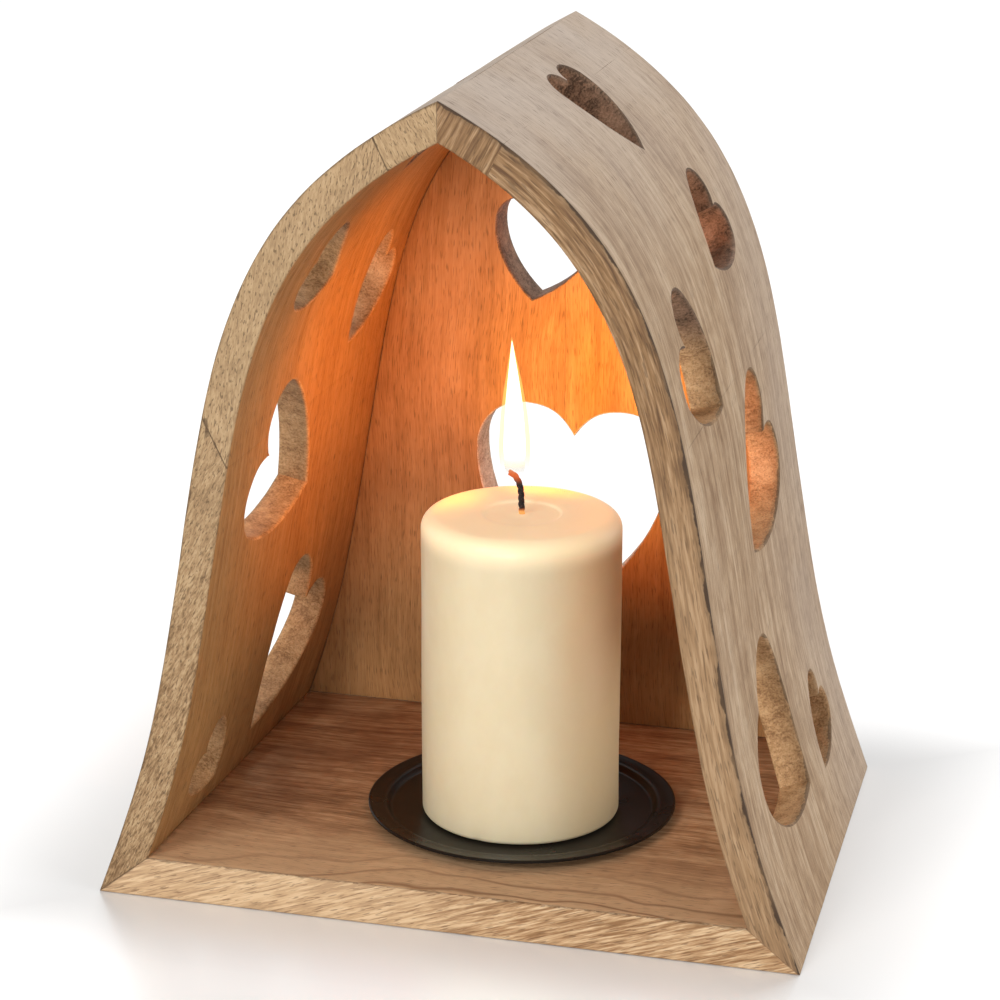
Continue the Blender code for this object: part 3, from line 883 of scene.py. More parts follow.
        # The thin dark line, and beside it a soft band of painted shade.
        line = f.math("MAXIMUM", f.between(gap, 0.0003, -0.0003),
                      f.between(gap, 0.0024, 0.0, 0.0, self.arris_painted_shade))
        round_front = f.minus(f.minus(back, self.front),
                             f.times(reach, 0.5))
        outer = f.times(self.on(f, kind, Face.OUTER), f.math(
            "MAXIMUM", f.between(round_front, 0.0002, -0.0003),
            f.between(round_front, 0.0022, 0.0, 0.0, self.arris_painted_shade)))
        stretch = f.between(f.noise(grain, *Pattern.ARRIS_STRETCH.value), 0.36, 0.52, 0.45, 1.0)
        kinds = f.math("MULTIPLY_ADD", self.on(f, kind, Face.CUT), 0.7,
                       self.on(f, kind, Face.EDGE))
        shown = f.math("MULTIPLY_ADD", line, kinds, f.times(outer, self.arris_outer))
        return f.times(shown, f.times(stretch, self.arris))

    def rings(self, f: Finish, grain: Socket) -> Socket:
        """Thin growth lines that arch over the board near its front."""
        bent = f.noise(grain, *Pattern.RING_BEND.value)
        place = f.scaled(grain, (14.0, 42.0, 0.0), shift=(-0.7, 5.4, 0.0))
        far = f.length(place)
        wave = f.math("MULTIPLY_ADD", bent, 1.6, far)
        phase = f.math("FRACT", f.times(wave, 2.2))
        line = f.between(f.math("ABSOLUTE", f.minus(phase, 0.5)), 0.15, 0.0)
        near = f.between(far, 3.6, 1.2)
        return f.times(f.times(line, near), self.ring_lines)


@dataclass(frozen=True)
class DishFinish:
    """Dark brown enamel, slightly orange-peeled."""

    colour: Colour = (0.007, 0.0055, 0.0045)
    worn: Colour = (0.022, 0.018, 0.014)

    def material(self) -> Material:
        """Builds the enamel."""
        f = Finish("dish_enamel")
        place = f.place()
        speckle = f.noise(place, 2200.0, 2.0, 0.6)
        dust = f.between(speckle, 0.58, 0.74, 0.0, 0.5)
        cloud = f.noise(place, 60.0, 3.0)
        f.set(Base_Color=f.mix(dust, self.colour, self.worn), Metallic=0.0,
              Specular_IOR_Level=0.22)
        f.set(Roughness=f.between(cloud, 0.3, 0.7, 0.26, 0.36))
        f.bump(speckle, 0.15, 0.0002)
        return f.material


@dataclass(frozen=True)
class WaxFinish:
    """Ivory wax, with the flame's light painted in: a glow near the top, and orange bounce light,
    darker low down, on its right side.
    """

    colour: Colour = (0.74, 0.635, 0.43)
    cloudy: Colour = (0.72, 0.61, 0.405)
    # Painted glow near the top: its colour, and the colour it emits.
    painted_top_glow: Colour = (0.95, 0.76, 0.45)
    glow: Colour = (1.0, 0.87, 0.60)
    # Painted bounce light and shade on the wax's right side, low and high.
    painted_bounce_low: Colour = (0.52, 0.36, 0.17)
    painted_bounce_high: Colour = (0.86, 0.50, 0.22)
    top: float = 0.1261
    centre: Pair = (0.0086, -0.0169)

    def material(self) -> Material:
        """Builds the wax."""
        f = Finish("ivory_wax")
        x, y = self.centre
        place = f.place()
        across, _, height = f.split(place)
        mottle = f.noise(f.scaled(place, (1.0, 1.0, 0.6)), 90.0, 4.0, 0.6)
        base = f.mix(f.between(mottle, 0.35, 0.65), self.colour, self.cloudy)
        # Painted light: orange bounce light on the wax's right side, darker low down as painted
        # shade.
        painted_bounce_side = f.between(f.minus(across, x), 0.012, 0.035)
        painted_bounce = f.mix(f.between(height, 0.03, 0.10), self.painted_bounce_low, self.painted_bounce_high)
        base = f.mix(f.times(painted_bounce_side, 0.6), base, painted_bounce)
        out = f.length(f.scaled(place, (1.0, 1.0, 0.0), shift=(-x, -y, 0.0)))
        # Painted glow: the top is warmer near the flame, most towards the rim.
        rim = f.between(out, 0.006, 0.031)
        near = f.between(height, self.top - 0.011, self.top - 0.0005)
        colour = f.mix(f.times(near, f.math("MULTIPLY_ADD", rim, 0.45, 0.15)),
                       base, self.painted_top_glow)
        f.set(Base_Color=colour, Subsurface_Weight=0.30, Subsurface_Scale=0.005,
              Subsurface_Radius=(1.0, 0.6, 0.3), Specular_IOR_Level=0.4)
        f.set(Roughness=f.between(mottle, 0.3, 0.7, 0.34, 0.44))
        # Painted glow: the wax near its top emits light though it is no lamp.
        painted_glow_strength = f.between(height, self.top - 0.012, self.top - 0.001, 0.02, 0.34)
        f.set(Emission_Color=(*self.glow, 1.0), Emission_Strength=painted_glow_strength)
        f.bump(f.noise(place, 420.0, 3.0), 0.08, 0.0004)
        return f.material


@dataclass(frozen=True)
class WickFinish:
    """Burnt cotton, glowing at its tip and where it leaves the wax."""

    base: float = 0.1255
    tip: float = 0.1405

    def material(self) -> Material:
        """Builds the burnt cotton."""
        f = Finish("burnt_cotton")
        place = f.place()
        height = f.split(place)[2]
        fibre = f.noise(place, 1800.0, 3.0)
        low = f.between(height, self.base + 0.0026, self.base + 0.0008)
        high = f.between(height, self.tip - 0.0045, self.tip - 0.0005)
        char = f.mix(f.between(fibre, 0.4, 0.7), (0.008, 0.006, 0.007), (0.05, 0.03, 0.025))
        hot = f.mix(low, (1.0, 0.16, 0.02), (1.0, 0.42, 0.10))
        f.set(Base_Color=char, Roughness=0.9, Emission_Color=hot)
        f.set(Emission_Strength=f.math("MAXIMUM", low, f.times(high, 0.8)))
        f.bump(fibre, 0.4, 0.0003)
        return f.material


class FlameLayer(Enum):
    """The layers of the flame: name, colour, strength and cover."""

    CORE = ("flame_core", (1.0, 0.88, 0.60), 3.4, 1.0)
    VEIL = ("flame_veil", (1.0, 0.62, 0.16), 1.5, 0.28)


@dataclass(frozen=True)
class FlameFinish:
    """Glowing gas, as one layer of the flame."""

    layer: FlameLayer

    def material(self) -> Material:
        """Builds the glow."""
        name, colour, strength, cover = self.layer.value
        f = Finish(name)
        height = f.split(f.place())[2]
        lift = f.between(height, 0.1385, 0.150, 0.0, 1.0)
        f.set(Base_Color=(0.0, 0.0, 0.0, 1.0), Roughness=1.0, Specular_IOR_Level=0.0,
              Emission_Color=(*colour, 1.0))
        f.set(Emission_Strength=f.times(lift, strength),
              Alpha=f.times(lift, cover))
        return f.material


@dataclass(frozen=True)
class SteelFinish:
    """Bright wire steel with fine drawn lines."""

    colour: Colour = (0.56, 0.56, 0.57)

    def material(self) -> Material:
        """Builds the steel."""
        f = Finish("pin_steel")
        lines = f.noise(f.scaled(f.place(), (4000.0, 4000.0, 300.0)), 1.0, 2.0)
        f.set(Base_Color=f.mix(f.between(lines, 0.4, 0.6, 0.0, 0.3), self.colour, (0.3, 0.3, 0.3)),
              Metallic=1.0)
        f.set(Roughness=f.between(lines, 0.3, 0.7, 0.25, 0.4))
        return f.material


# Node trees that turn and twist pieces to shape

TURN_RADIUS = 0.02
WELD = 1e-6


class ShapeTree(NodeTree):
    """A geometry node tree under construction, with named inputs for its sizes."""

    def __init__(self, name: str, **inputs: str) -> None:
        """Starts the tree.

        Args:
            name: the tree's name.
            inputs: the kind of each input after the geometry, its name with _ for a space.
        """
        self.tree = bpy.data.node_groups.new(name, "GeometryNodeTree")
        super().__init__(self.tree)
        sockets = self.tree.interface
        sockets.new_socket("Geometry", in_out="INPUT", socket_type="NodeSocketGeometry")
        self.ids = {}
        for label, kind in {**inputs, "Finish": "Material"}.items():
            label = label.replace("_", " ")
            made = sockets.new_socket(label, in_out="INPUT", socket_type=f"NodeSocket{kind}")
            self.ids[label] = made.identifier
        sockets.new_socket("Geometry", in_out="OUTPUT", socket_type="NodeSocketGeometry")
        self.start = self.nodes.new("NodeGroupInput")
        self.end = self.nodes.new("NodeGroupOutput")

    def put(self, socket: Socket, value) -> None:
        """Fills a socket; a string starting with @ stands for the tree's own input."""
        if isinstance(value, str) and value.startswith("@"):
            value = self.start.outputs[value[1:]]
        super().put(socket, value)

    def shape(self, kind: str, inputs: dict, **settings) -> Socket:
        """Adds a node and gives its first output."""
        return self.node(kind, inputs, **settings).outputs[0]

    def joined(self, *parts: Socket) -> Socket:
        """Several shapes as one."""
        gather = self.node("GeometryNodeJoinGeometry")
        for part in parts:
            self.links.new(part, gather.inputs[0])
        return gather.outputs[0]

    def close(self, geometry: Socket) -> None:
        """Ends the tree in real geometry with its finish on it."""
        real = self.shape("GeometryNodeRealizeInstances", {0: geometry})
        done = self.shape("GeometryNodeSetMaterial", {"Geometry": real, "Material": "@Finish"})
        self.links.new(done, self.end.inputs[0])

    def run(self, name: str, seed_mesh: bpy.types.Mesh, values: dict) -> bpy.types.Mesh:
        """Runs the tree on a seed mesh.

        Args:
            name: the name of the mesh that comes out.
            seed_mesh: the geometry that goes in.
            values: the value of each named input.

        Returns:
            The evaluated mesh, free of the tree.
        """
        holder = linked(name, seed_mesh)
        modifier = holder.modifiers.new(name, "NODES")
        modifier.node_group = self.tree
        for label, value in values.items():
            modifier[self.ids[label]] = value
        graph = bpy.context.evaluated_depsgraph_get()
        mesh = bpy.data.meshes.new_from_object(holder.evaluated_get(graph), depsgraph=graph)
        mesh.name = name
        holder.modifiers.remove(modifier)
        bpy.data.objects.remove(holder)
        return mesh


def turning_tree() -> ShapeTree:
    """Turns a line of (radius, height) points round Z."""
    t = ShapeTree("turned_piece", Centre_radius="Float", Segments="Int")
    back = t.shape("ShaderNodeCombineXYZ", {"X": t.times("@Centre radius", -1.0)})
    moved = t.shape("GeometryNodeTransform", {
        "Geometry": "@Geometry", "Translation": back, "Scale": (1.0, -1.0, 1.0)})
    section = t.shape("GeometryNodeMeshToCurve", {0: moved})
    ring = t.shape("GeometryNodeCurvePrimitiveCircle", {
        "Resolution": "@Segments", "Radius": "@Centre radius"}, mode="RADIUS")
    upright = t.shape("GeometryNodeSetCurveNormal", {"Curve": ring}, mode="Z_UP")
    turned = t.shape("GeometryNodeCurveToMesh", {"Curve": upright, "Profile Curve": section})
    t.close(t.shape("GeometryNodeMergeByDistance", {"Geometry": turned, "Distance": WELD}))
    return t


def twisting_tree() -> ShapeTree:
    """Twists three strands round each other along a line."""
    t = ShapeTree("twisted_strands", Strand_radius="Float", Spread="Float", Turns="Float")
    path = t.shape("GeometryNodeMeshToCurve", {0: "@Geometry"})
    path = t.shape("GeometryNodeResampleCurve", {"Curve": path, "Count": 150})
    ring = t.shape("GeometryNodeCurvePrimitiveCircle", {
        "Resolution": 10, "Radius": "@Strand radius"}, mode="RADIUS")
    progress = t.node("GeometryNodeSplineParameter").outputs["Factor"]
    normal = t.shape("GeometryNodeInputNormal", {})
    tangent = t.shape("GeometryNodeInputTangent", {})
    wound = t.times(progress, "@Turns")
    tubes = []
    for strand in range(3):
        angle = t.times(t.math("ADD", wound, strand / 3), 2 * math.pi)
        turned = t.shape("ShaderNodeVectorRotate", {
            "Vector": normal, "Axis": tangent, "Angle": angle}, rotation_type="AXIS_ANGLE")
        out = t.shape("ShaderNodeVectorMath", {0: turned, "Scale": "@Spread"}, operation="SCALE")
        moved = t.shape("GeometryNodeSetPosition", {"Geometry": path, "Offset": out})
        tubes.append(t.shape("GeometryNodeCurveToMesh", {
            "Curve": moved, "Profile Curve": ring, "Fill Caps": True}))
    t.close(t.joined(*tubes))
    return t


def pinning_tree() -> ShapeTree:
    """Stands one copy of a pin on each point, turned to the point's direction."""
    t = ShapeTree("pins", Shank_radius="Float", Head_radius="Float", Head_height="Float",
                  Length="Float")
    lift = t.shape("ShaderNodeCombineXYZ", {"Z": t.times("@Length", 0.5)})
    shank = t.shape("GeometryNodeMeshCylinder", {
        "Vertices": 20, "Radius": "@Shank radius", "Depth": "@Length"})
    shank = t.shape("GeometryNodeTransform", {"Geometry": shank, "Translation": lift})
    head = t.shape("GeometryNodeMeshCone", {
        "Vertices": 20, "Radius Bottom": "@Head radius", "Radius Top": "@Shank radius",
        "Depth": "@Head height"})
    way = t.shape("GeometryNodeInputNamedAttribute", {"Name": "way"}, data_type="FLOAT_VECTOR")
    aim = t.shape("FunctionNodeAlignRotationToVector", {"Vector": way}, axis="Z")
    t.close(t.shape("GeometryNodeInstanceOnPoints", {
        "Points": "@Geometry", "Instance": t.joined(head, shank), "Rotation": aim}))
    return t


def line_mesh(name: str, points: Sequence[Sequence[float]], closed: bool = False) -> bpy.types.Mesh:
    """A line of points, of two or three numbers each, as a mesh of edges."""
    mesh = bpy.data.meshes.new(name)
    edges = [(i, i + 1) for i in range(len(points) - 1)]
    if closed:
        edges.append((len(points) - 1, 0))
    mesh.from_pydata([(*p, 0.0)[:3] for p in points], edges, [])
    return mesh


def edit_copy(mesh: bpy.types.Mesh, weld: float = 0.0) -> Shape:
    """An edit mesh of a mesh, its faces pointing out and points within a weld merged."""
    shape = bmesh.new()
    shape.from_mesh(mesh)
    if weld:
        bmesh.ops.remove_doubles(shape, verts=shape.verts, dist=weld)
    bmesh.ops.recalc_face_normals(shape, faces=shape.faces)
    return shape


def turned_shape(turning: ShapeTree, name: str, section: Sequence, segments: int,
                 finish: Material, closed: bool = False) -> Shape:
    """Turns a section of (radius, height) points into an edit mesh.

    Args:
        turning: the tree that turns it.
        name: a name for the section and the mesh.
        section: its points, from the axis out.
        segments: how many steps the turn has.
        finish: the material.
        closed: whether the section's last point is joined to its first.

    Returns:
        The edit mesh, round Z.
    """
    mesh = turning.run(name, line_mesh(f"{name}_section", section, closed), {
        "Centre radius": TURN_RADIUS, "Segments": segments, "Finish": finish})
    return edit_copy(mesh, WELD)


# Sub-assemblies


@dataclass
class Walls:
    """The two curved walls, each glued up from three blocks."""

    arch: ArchShape
    joints: Pair = (0.5625, 0.9235)
    joint_lean: float = math.radians(64.0)
    glue_gap: float = 0.00002
    overrun: float = 0.026
    unevenness: float = 0.00016
    names: tuple[str, str, str] = ("foot_block", "shoulder_block", "crown_block")
    fleck_angles: Triple = (62.0, 80.0, 118.0)
    low_line_share: float = 0.447
    low_line_lean: float = math.radians(-75.0)
    right: tuple[Heart, ...] = (
        Heart(0.546, 0.891, 0.033, 1.21, 3.0, 0.188),
        Heart(0.679, 0.707, 0.036, 1.09, -62.0, 0.179),
        Heart(0.263, 0.608, 0.044, 1.14, 48.0, 0.187),
        Heart(0.597, 0.437, 0.0565, 1.15, -56.0, 0.215),
        Heart(0.378, 0.170, 0.0655, 1.01, 46.0, 0.050),
        Heart(0.735, 0.117, 0.028, 1.22, -47.0, 0.199),
    )
    left: tuple[Heart, ...] = (
        Heart(0.454, 0.891, 0.033, 1.21, -3.0, 0.188),
        Heart(0.292, 0.707, 0.036, 1.07, 67.0, 0.097),
        Heart(0.720, 0.610, 0.036, 1.2, -40.0, 0.182),
        Heart(0.357, 0.454, 0.0565, 1.15, 63.0, 0.181),
        Heart(0.583, 0.190, 0.0585, 1.07, -36.0, 0.201),
        Heart(0.240, 0.124, 0.028, 1.1, 50.0, 0.178),
    )

    def build(self, finishes: dict[Side, Material]) -> list[Piece]:
        """Builds the six blocks.

        Args:
            finishes: the wood of each wall.

        Returns:
            The blocks, left wall first, from the foot up.
        """
        blocks = []
        for side, hearts in ((Side.LEFT, self.left), (Side.RIGHT, self.right)):
            for number, name in enumerate(self.names):
                label = f"{side.name.lower()}_wall_{name}"
                block = self.block(label, side, hearts, number, finishes[side])
                settle(block, "arch", "walls", label)
                blocks.append(block)
        return blocks

    def block(self, label: str, side: Side, hearts: Sequence[Heart], number: int,
              finish: Material) -> Piece:
        """Lays out a whole wall and keeps one block of it."""
        distances, line, ways = self.arch.line()
        length = distances[-1]
        front = self.arch.front
        low, high = -self.overrun, length + self.overrun
        outline = np.array([(low, front), (high, front), (high, -front), (low, -front)])
        openings = []
        for heart in hearts:
            middle = (heart.up * length, front + heart.across * self.arch.depth)
            openings.append(heart.outline()[:, ::-1] + middle)

        def place(points: np.ndarray) -> np.ndarray:
            """Bends (distance, depth, thickness) rows round the arch."""
            s = points[:, 0]
            x, z, wx, wz = (np.interp(s, distances, column) for column in (*line.T, *ways.T))
            size = np.hypot(wx, wz)
            wx, wz = wx / size, wz / size
            beyond = s - np.clip(s, 0.0, length)
            x = x + wx * beyond - wz * points[:, 2]
            z = z + wz * beyond + wx * points[:, 2]
            return np.column_stack([side.value * x, points[:, 1], z])

        board = Board(outline, openings, self.arch.wall, opening_rounding=0.0009)
        shape = board_mesh(board, place, flip=side is Side.RIGHT)
        planes = self.planes(number)
        for point, keep in planes:
            slice_off(shape, point, keep, side.value)
        self.mark_seams(shape, side, planes)
        sanded(shape, self.unevenness, 3.7 + side.value)
        self.mark_flecks(shape, side, number)
        self.arch.narrow(shape)
        return finished_piece(f"{label}_sanded", shape, finish)

    def planes(self, number: int) -> list[tuple[np.ndarray, np.ndarray]]:
        """The planes that bound a block of the right wall, as a point and the kept side."""
        half = self.glue_gap / 2
        corner, foot_up = self.foot_mitre()
        across = np.array([-math.cos(self.joint_lean), -math.sin(self.joint_lean)])
        up = np.array([across[1], -across[0]])
        joints = [self.arch.at(share) for share in self.joints]
        below = (corner + foot_up * half, foot_up)
        apex = (np.array([half, 0.0]), np.array([1.0, 0.0]))
        return [below if number == 0 else (joints[number - 1] + up * half, up),
                apex if number == 2 else (joints[number] - up * half, -up)]

    def foot_mitre(self) -> tuple[np.ndarray, np.ndarray]:
        """A point on the right foot's mitre and the direction up into the wall."""
        inner, corner = self.arch.inner_line(), self.arch.at(0.0)
        x = np.interp(self.arch.base, inner[:, 1], inner[:, 0])
        along = np.array([x, self.arch.base]) - corner
        along /= np.linalg.norm(along)
        return corner, np.array([along[1], -along[0]])

    def mark_seams(self, shape: Shape, side: Side,
                   planes: Sequence[tuple[np.ndarray, np.ndarray]]) -> None:
        """Gives each point its distance to the nearest glue line."""
        seams = list(planes)
        if side is Side.LEFT:
            lean = self.low_line_lean
            normal = np.array([-math.sin(lean), math.cos(lean)])
            seams.append((self.arch.at(self.low_line_share), normal))

        def distance(vert: Point) -> float:
            """How far a point is from the nearest seam."""
            spot = np.array([side.value * vert.co.x, vert.co.z])
            return min(abs(float(np.dot(spot - p, n))) for p, n in seams)

        mark(shape, "seam", distance)

    def mark_flecks(self, shape: Shape, side: Side, number: int) -> None:
        """Gives each point its place along and across the pores of its block."""
        grain = shape.verts.layers.float_vector["grain"]
        angle = math.radians(self.fleck_angles[number])
        ux, uz = -side.value * math.cos(angle), math.sin(angle)

        def fleck(vert: Point) -> Triple:
            """The place along the pores, across them, and in depth."""
            x, y, z = vert.co
            s, _, depth = vert[grain]
            if side is Side.RIGHT and number < 2:
                return (s + 0.3 * depth, depth, y)
            return (x * ux + z * uz + number, -x * uz + z * ux, y)

        mark(shape, "fleck", fleck)


@dataclass
class BaseBoard:
    """The base board, its ends mitred to the walls."""

    arch: ArchShape
    walls: Walls
    overrun: float = 0.004
    grain_tilt: float = math.radians(19.0)

    def build(self, finish: Material) -> Piece:
        """Builds the board.

        Args:
            finish: its wood.

        Returns:
            The board.
        """
        half, front = self.arch.half_width + self.overrun, self.arch.front
        outline = np.array([(-half, front), (half, front), (half, -front), (-half, -front)])
        top = self.arch.base

        def place(points: np.ndarray) -> np.ndarray:
            """Lays (x, y, depth) rows with the outer face on top."""
            return np.column_stack([points[:, 0], points[:, 1], top - points[:, 2]])

        shape = board_mesh(Board(outline, [], top, rounding=0.0007, pitch=0.004), place)
        corner, up = self.walls.foot_mitre()
        point = corner - up * self.walls.glue_gap / 2
        for sign in (-1, 1):
            slice_off(shape, point, -up, sign)
        cos, sin = math.cos(self.grain_tilt), math.sin(self.grain_tilt)
        mark(shape, "seam", lambda v: abs(float(np.dot((abs(v.co.x), v.co.z) - point, up))))
        mark(shape, "fleck", lambda v: (v.co.x * cos + v.co.z * sin,
                                        v.co.z * cos - v.co.x * sin, v.co.y))
        self.arch.narrow(shape)
        piece = finished_piece("base_board_sanded", shape, finish)
        settle(piece, "arch", "base", "base_board")
        return piece


@dataclass
class Back:
    """Two upright boards that close the rear of the arch."""

    arch: ArchShape
    base_gap: float = 0.00012
    board_gap: float = 0.00008
    seam: float = 0.0015
    inset: float = 0.002
    thickness: float = 0.016
    hearts: tuple[Heart, ...] = (
        Heart(0.034, 0.346, 0.0734, 1.1, -2.0, 0.149),
        Heart(-0.066, 0.695, 0.0370, 0.99, -10.0, 0.187),
    )

    def build(self, finish: Material) -> list[Piece]:
        """Builds both boards.

        Args:
            finish: their wood.

        Returns:
            The left and the right board.
        """
        inner = self.arch.inner_line(self.base_gap)
        floor = self.arch.base + self.base_gap
        x_floor = np.interp(floor, inner[:, 1], inner[:, 0])
        z_peak = np.interp(0.0, inner[::-1, 0], inner[::-1, 1])
        right = inner[(inner[:, 0] > 0.0005) & (inner[:, 1] > floor + 0.0005)]
        half = np.vstack([[x_floor, floor], right, [0.0, z_peak]])
        whole = np.vstack([half, half[:-1][::-1] * (-1, 1)])
        rear = -self.arch.front - self.inset
        front = rear - self.thickness
        narrowing = self.arch.share((front + rear) / 2)
        openings = []
        for heart in self.hearts:
            middle = (heart.across * self.arch.half_width, heart.up * self.arch.height)
            openings.append((heart.outline() + middle) / (narrowing, 1.0))

        def place(points: np.ndarray) -> np.ndarray:
            """Stands (x, z, depth) rows up, the outer face to the front."""
            return np.column_stack([points[:, 0], front + points[:, 2], points[:, 1]])

        boards = []
        for name, sign in (("back_board_left", -1), ("back_board_right", 1)):
            shape = board_mesh(Board(whole, openings, self.thickness, rounding=0.0003), place)
            slice_off(shape, (self.seam + sign * self.board_gap / 2, 0.0), (sign, 0.0))
            grain = shape.verts.layers.float_vector["grain"]
            for vert in shape.verts:
                vert[grain] = (vert.co.z - 1.0 + 0.4 * sign, vert.co.x, vert[grain][2])
            mark(shape, "fleck", lambda v: (v.co.z, v.co.x, v.co.y))
            mark(shape, "seam", lambda v: abs(v.co.x - self.seam))
            self.arch.narrow(shape)
            piece = finished_piece(f"{name}_sanded", shape, finish)
            settle(piece, "arch", "back", name)
            boards.append(piece)
        return boards


@dataclass
class Pins:
    """The steel pins that hold the walls and the back to the base board."""

    arch: ArchShape
    walls: Walls
    shank: float = 0.0009
    head: float = 0.0017
    head_height: float = 0.0008
    length: float = 0.024
    sink: float = 0.0008
    edge: float = 0.034
    back_x: float = 0.046
    back_y: float = 0.081

    def build(self, finish: Material) -> Piece:
        """Builds all six pins as one piece.

        Args:
            finish: their steel.

        Returns:
            The pins.
        """
        way = self.arch.lean(self.arch.foot_angle)
        seat = np.array([self.arch.half_width, 0.0])
        seat = seat + np.array([-way[1], way[0]]) * self.arch.wall / 2
        start = seat - way * ((seat[1] - self.sink) / way[1])
        places, ways = [], []
        for sign in (-1, 1):
            for y in (self.arch.front + self.edge, -self.arch.front - self.edge):
                places.append((sign * start[0] * self.arch.share(y), y, start[1]))
                ways.append((sign * way[0], 0.0, way[1]))
        for x in (-self.back_x, self.back_x):
            places.append((x, self.back_y, self.sink))
            ways.append((0.0, 0.0, 1.0))
        seats = bpy.data.meshes.new("pin_seats")
        seats.from_pydata(places, [], [])
        layer = seats.attributes.new("way", "FLOAT_VECTOR", "POINT")
        layer.data.foreach_set("vector", np.array(ways, np.float32).ravel())
        mesh = pinning_tree().run("steel_pins", seats, {
            "Shank radius": self.shank, "Head radius": self.head,
            "Head height": self.head_height, "Length": self.length - self.sink,
            "Finish": finish})
        piece = finished_piece("steel_pins", edit_copy(mesh), finish)
        nodes = [f"foot_pin_{i}" for i in range(1, 5)] + ["back_pin_1", "back_pin_2"]
        settle(piece, "arch", "pins", *nodes)
        return piece


@dataclass
class Dish:
    """The pressed metal dish under the candle."""

    turning: ShapeTree
    centre: Pair = (0.0086, -0.0145)
    seat: float = 0.0148
    radius: float = 0.0546
    step_radius: float = 0.0472
    step_run: float = 0.0014
    step_height: float = 0.0022
    sheet: float = 0.0010
    lip: float = 0.0036

    def profile(self) -> list[Pair]:
        """Half section from the middle of the underside to the middle of the top."""
        r, s, t = self.radius, self.step_radius, self.sheet
        outer, rise = s + self.step_run, self.step_height
        under = [(0.0, 0.0), (s - 0.0008, 0.0), (s, 0.0002), (outer - 0.0004, rise - 0.0004),
                 (outer + 0.0004, rise), (r - 0.0012, rise), (r - 0.0002, rise + 0.0006)]
        lip = [(r, self.lip - 0.0009), (r, self.lip - 0.0002), (r - 0.0003, self.lip),
               (r - 0.0008, self.lip), (r - 0.0012, self.lip - 0.0002)]
        over = [(outer + 0.0012, rise + t), (outer - 0.0002, rise + t - 0.0001),
                (outer - 0.0008, rise + t - 0.0006), (s - 0.0004, t + 0.0004),
                (s - 0.0010, t + 0.0001), (s - 0.0016, t), (0.0, t)]
        return under + lip + over

    def build(self, finish: Material) -> Piece:
        """Builds the dish.

        Args:
            finish: its enamel.

        Returns:
            The dish.
        """
        shape = turned_shape(self.turning, "dish", self.profile(), 160, finish)
        for vert in shape.verts:
            vert.co += Vector((*self.centre, self.seat))
        piece = finished_piece("pressed_dish", shape, finish, 50.0)
        settle(piece, "tray", "tray", "candle_tray")
        return piece


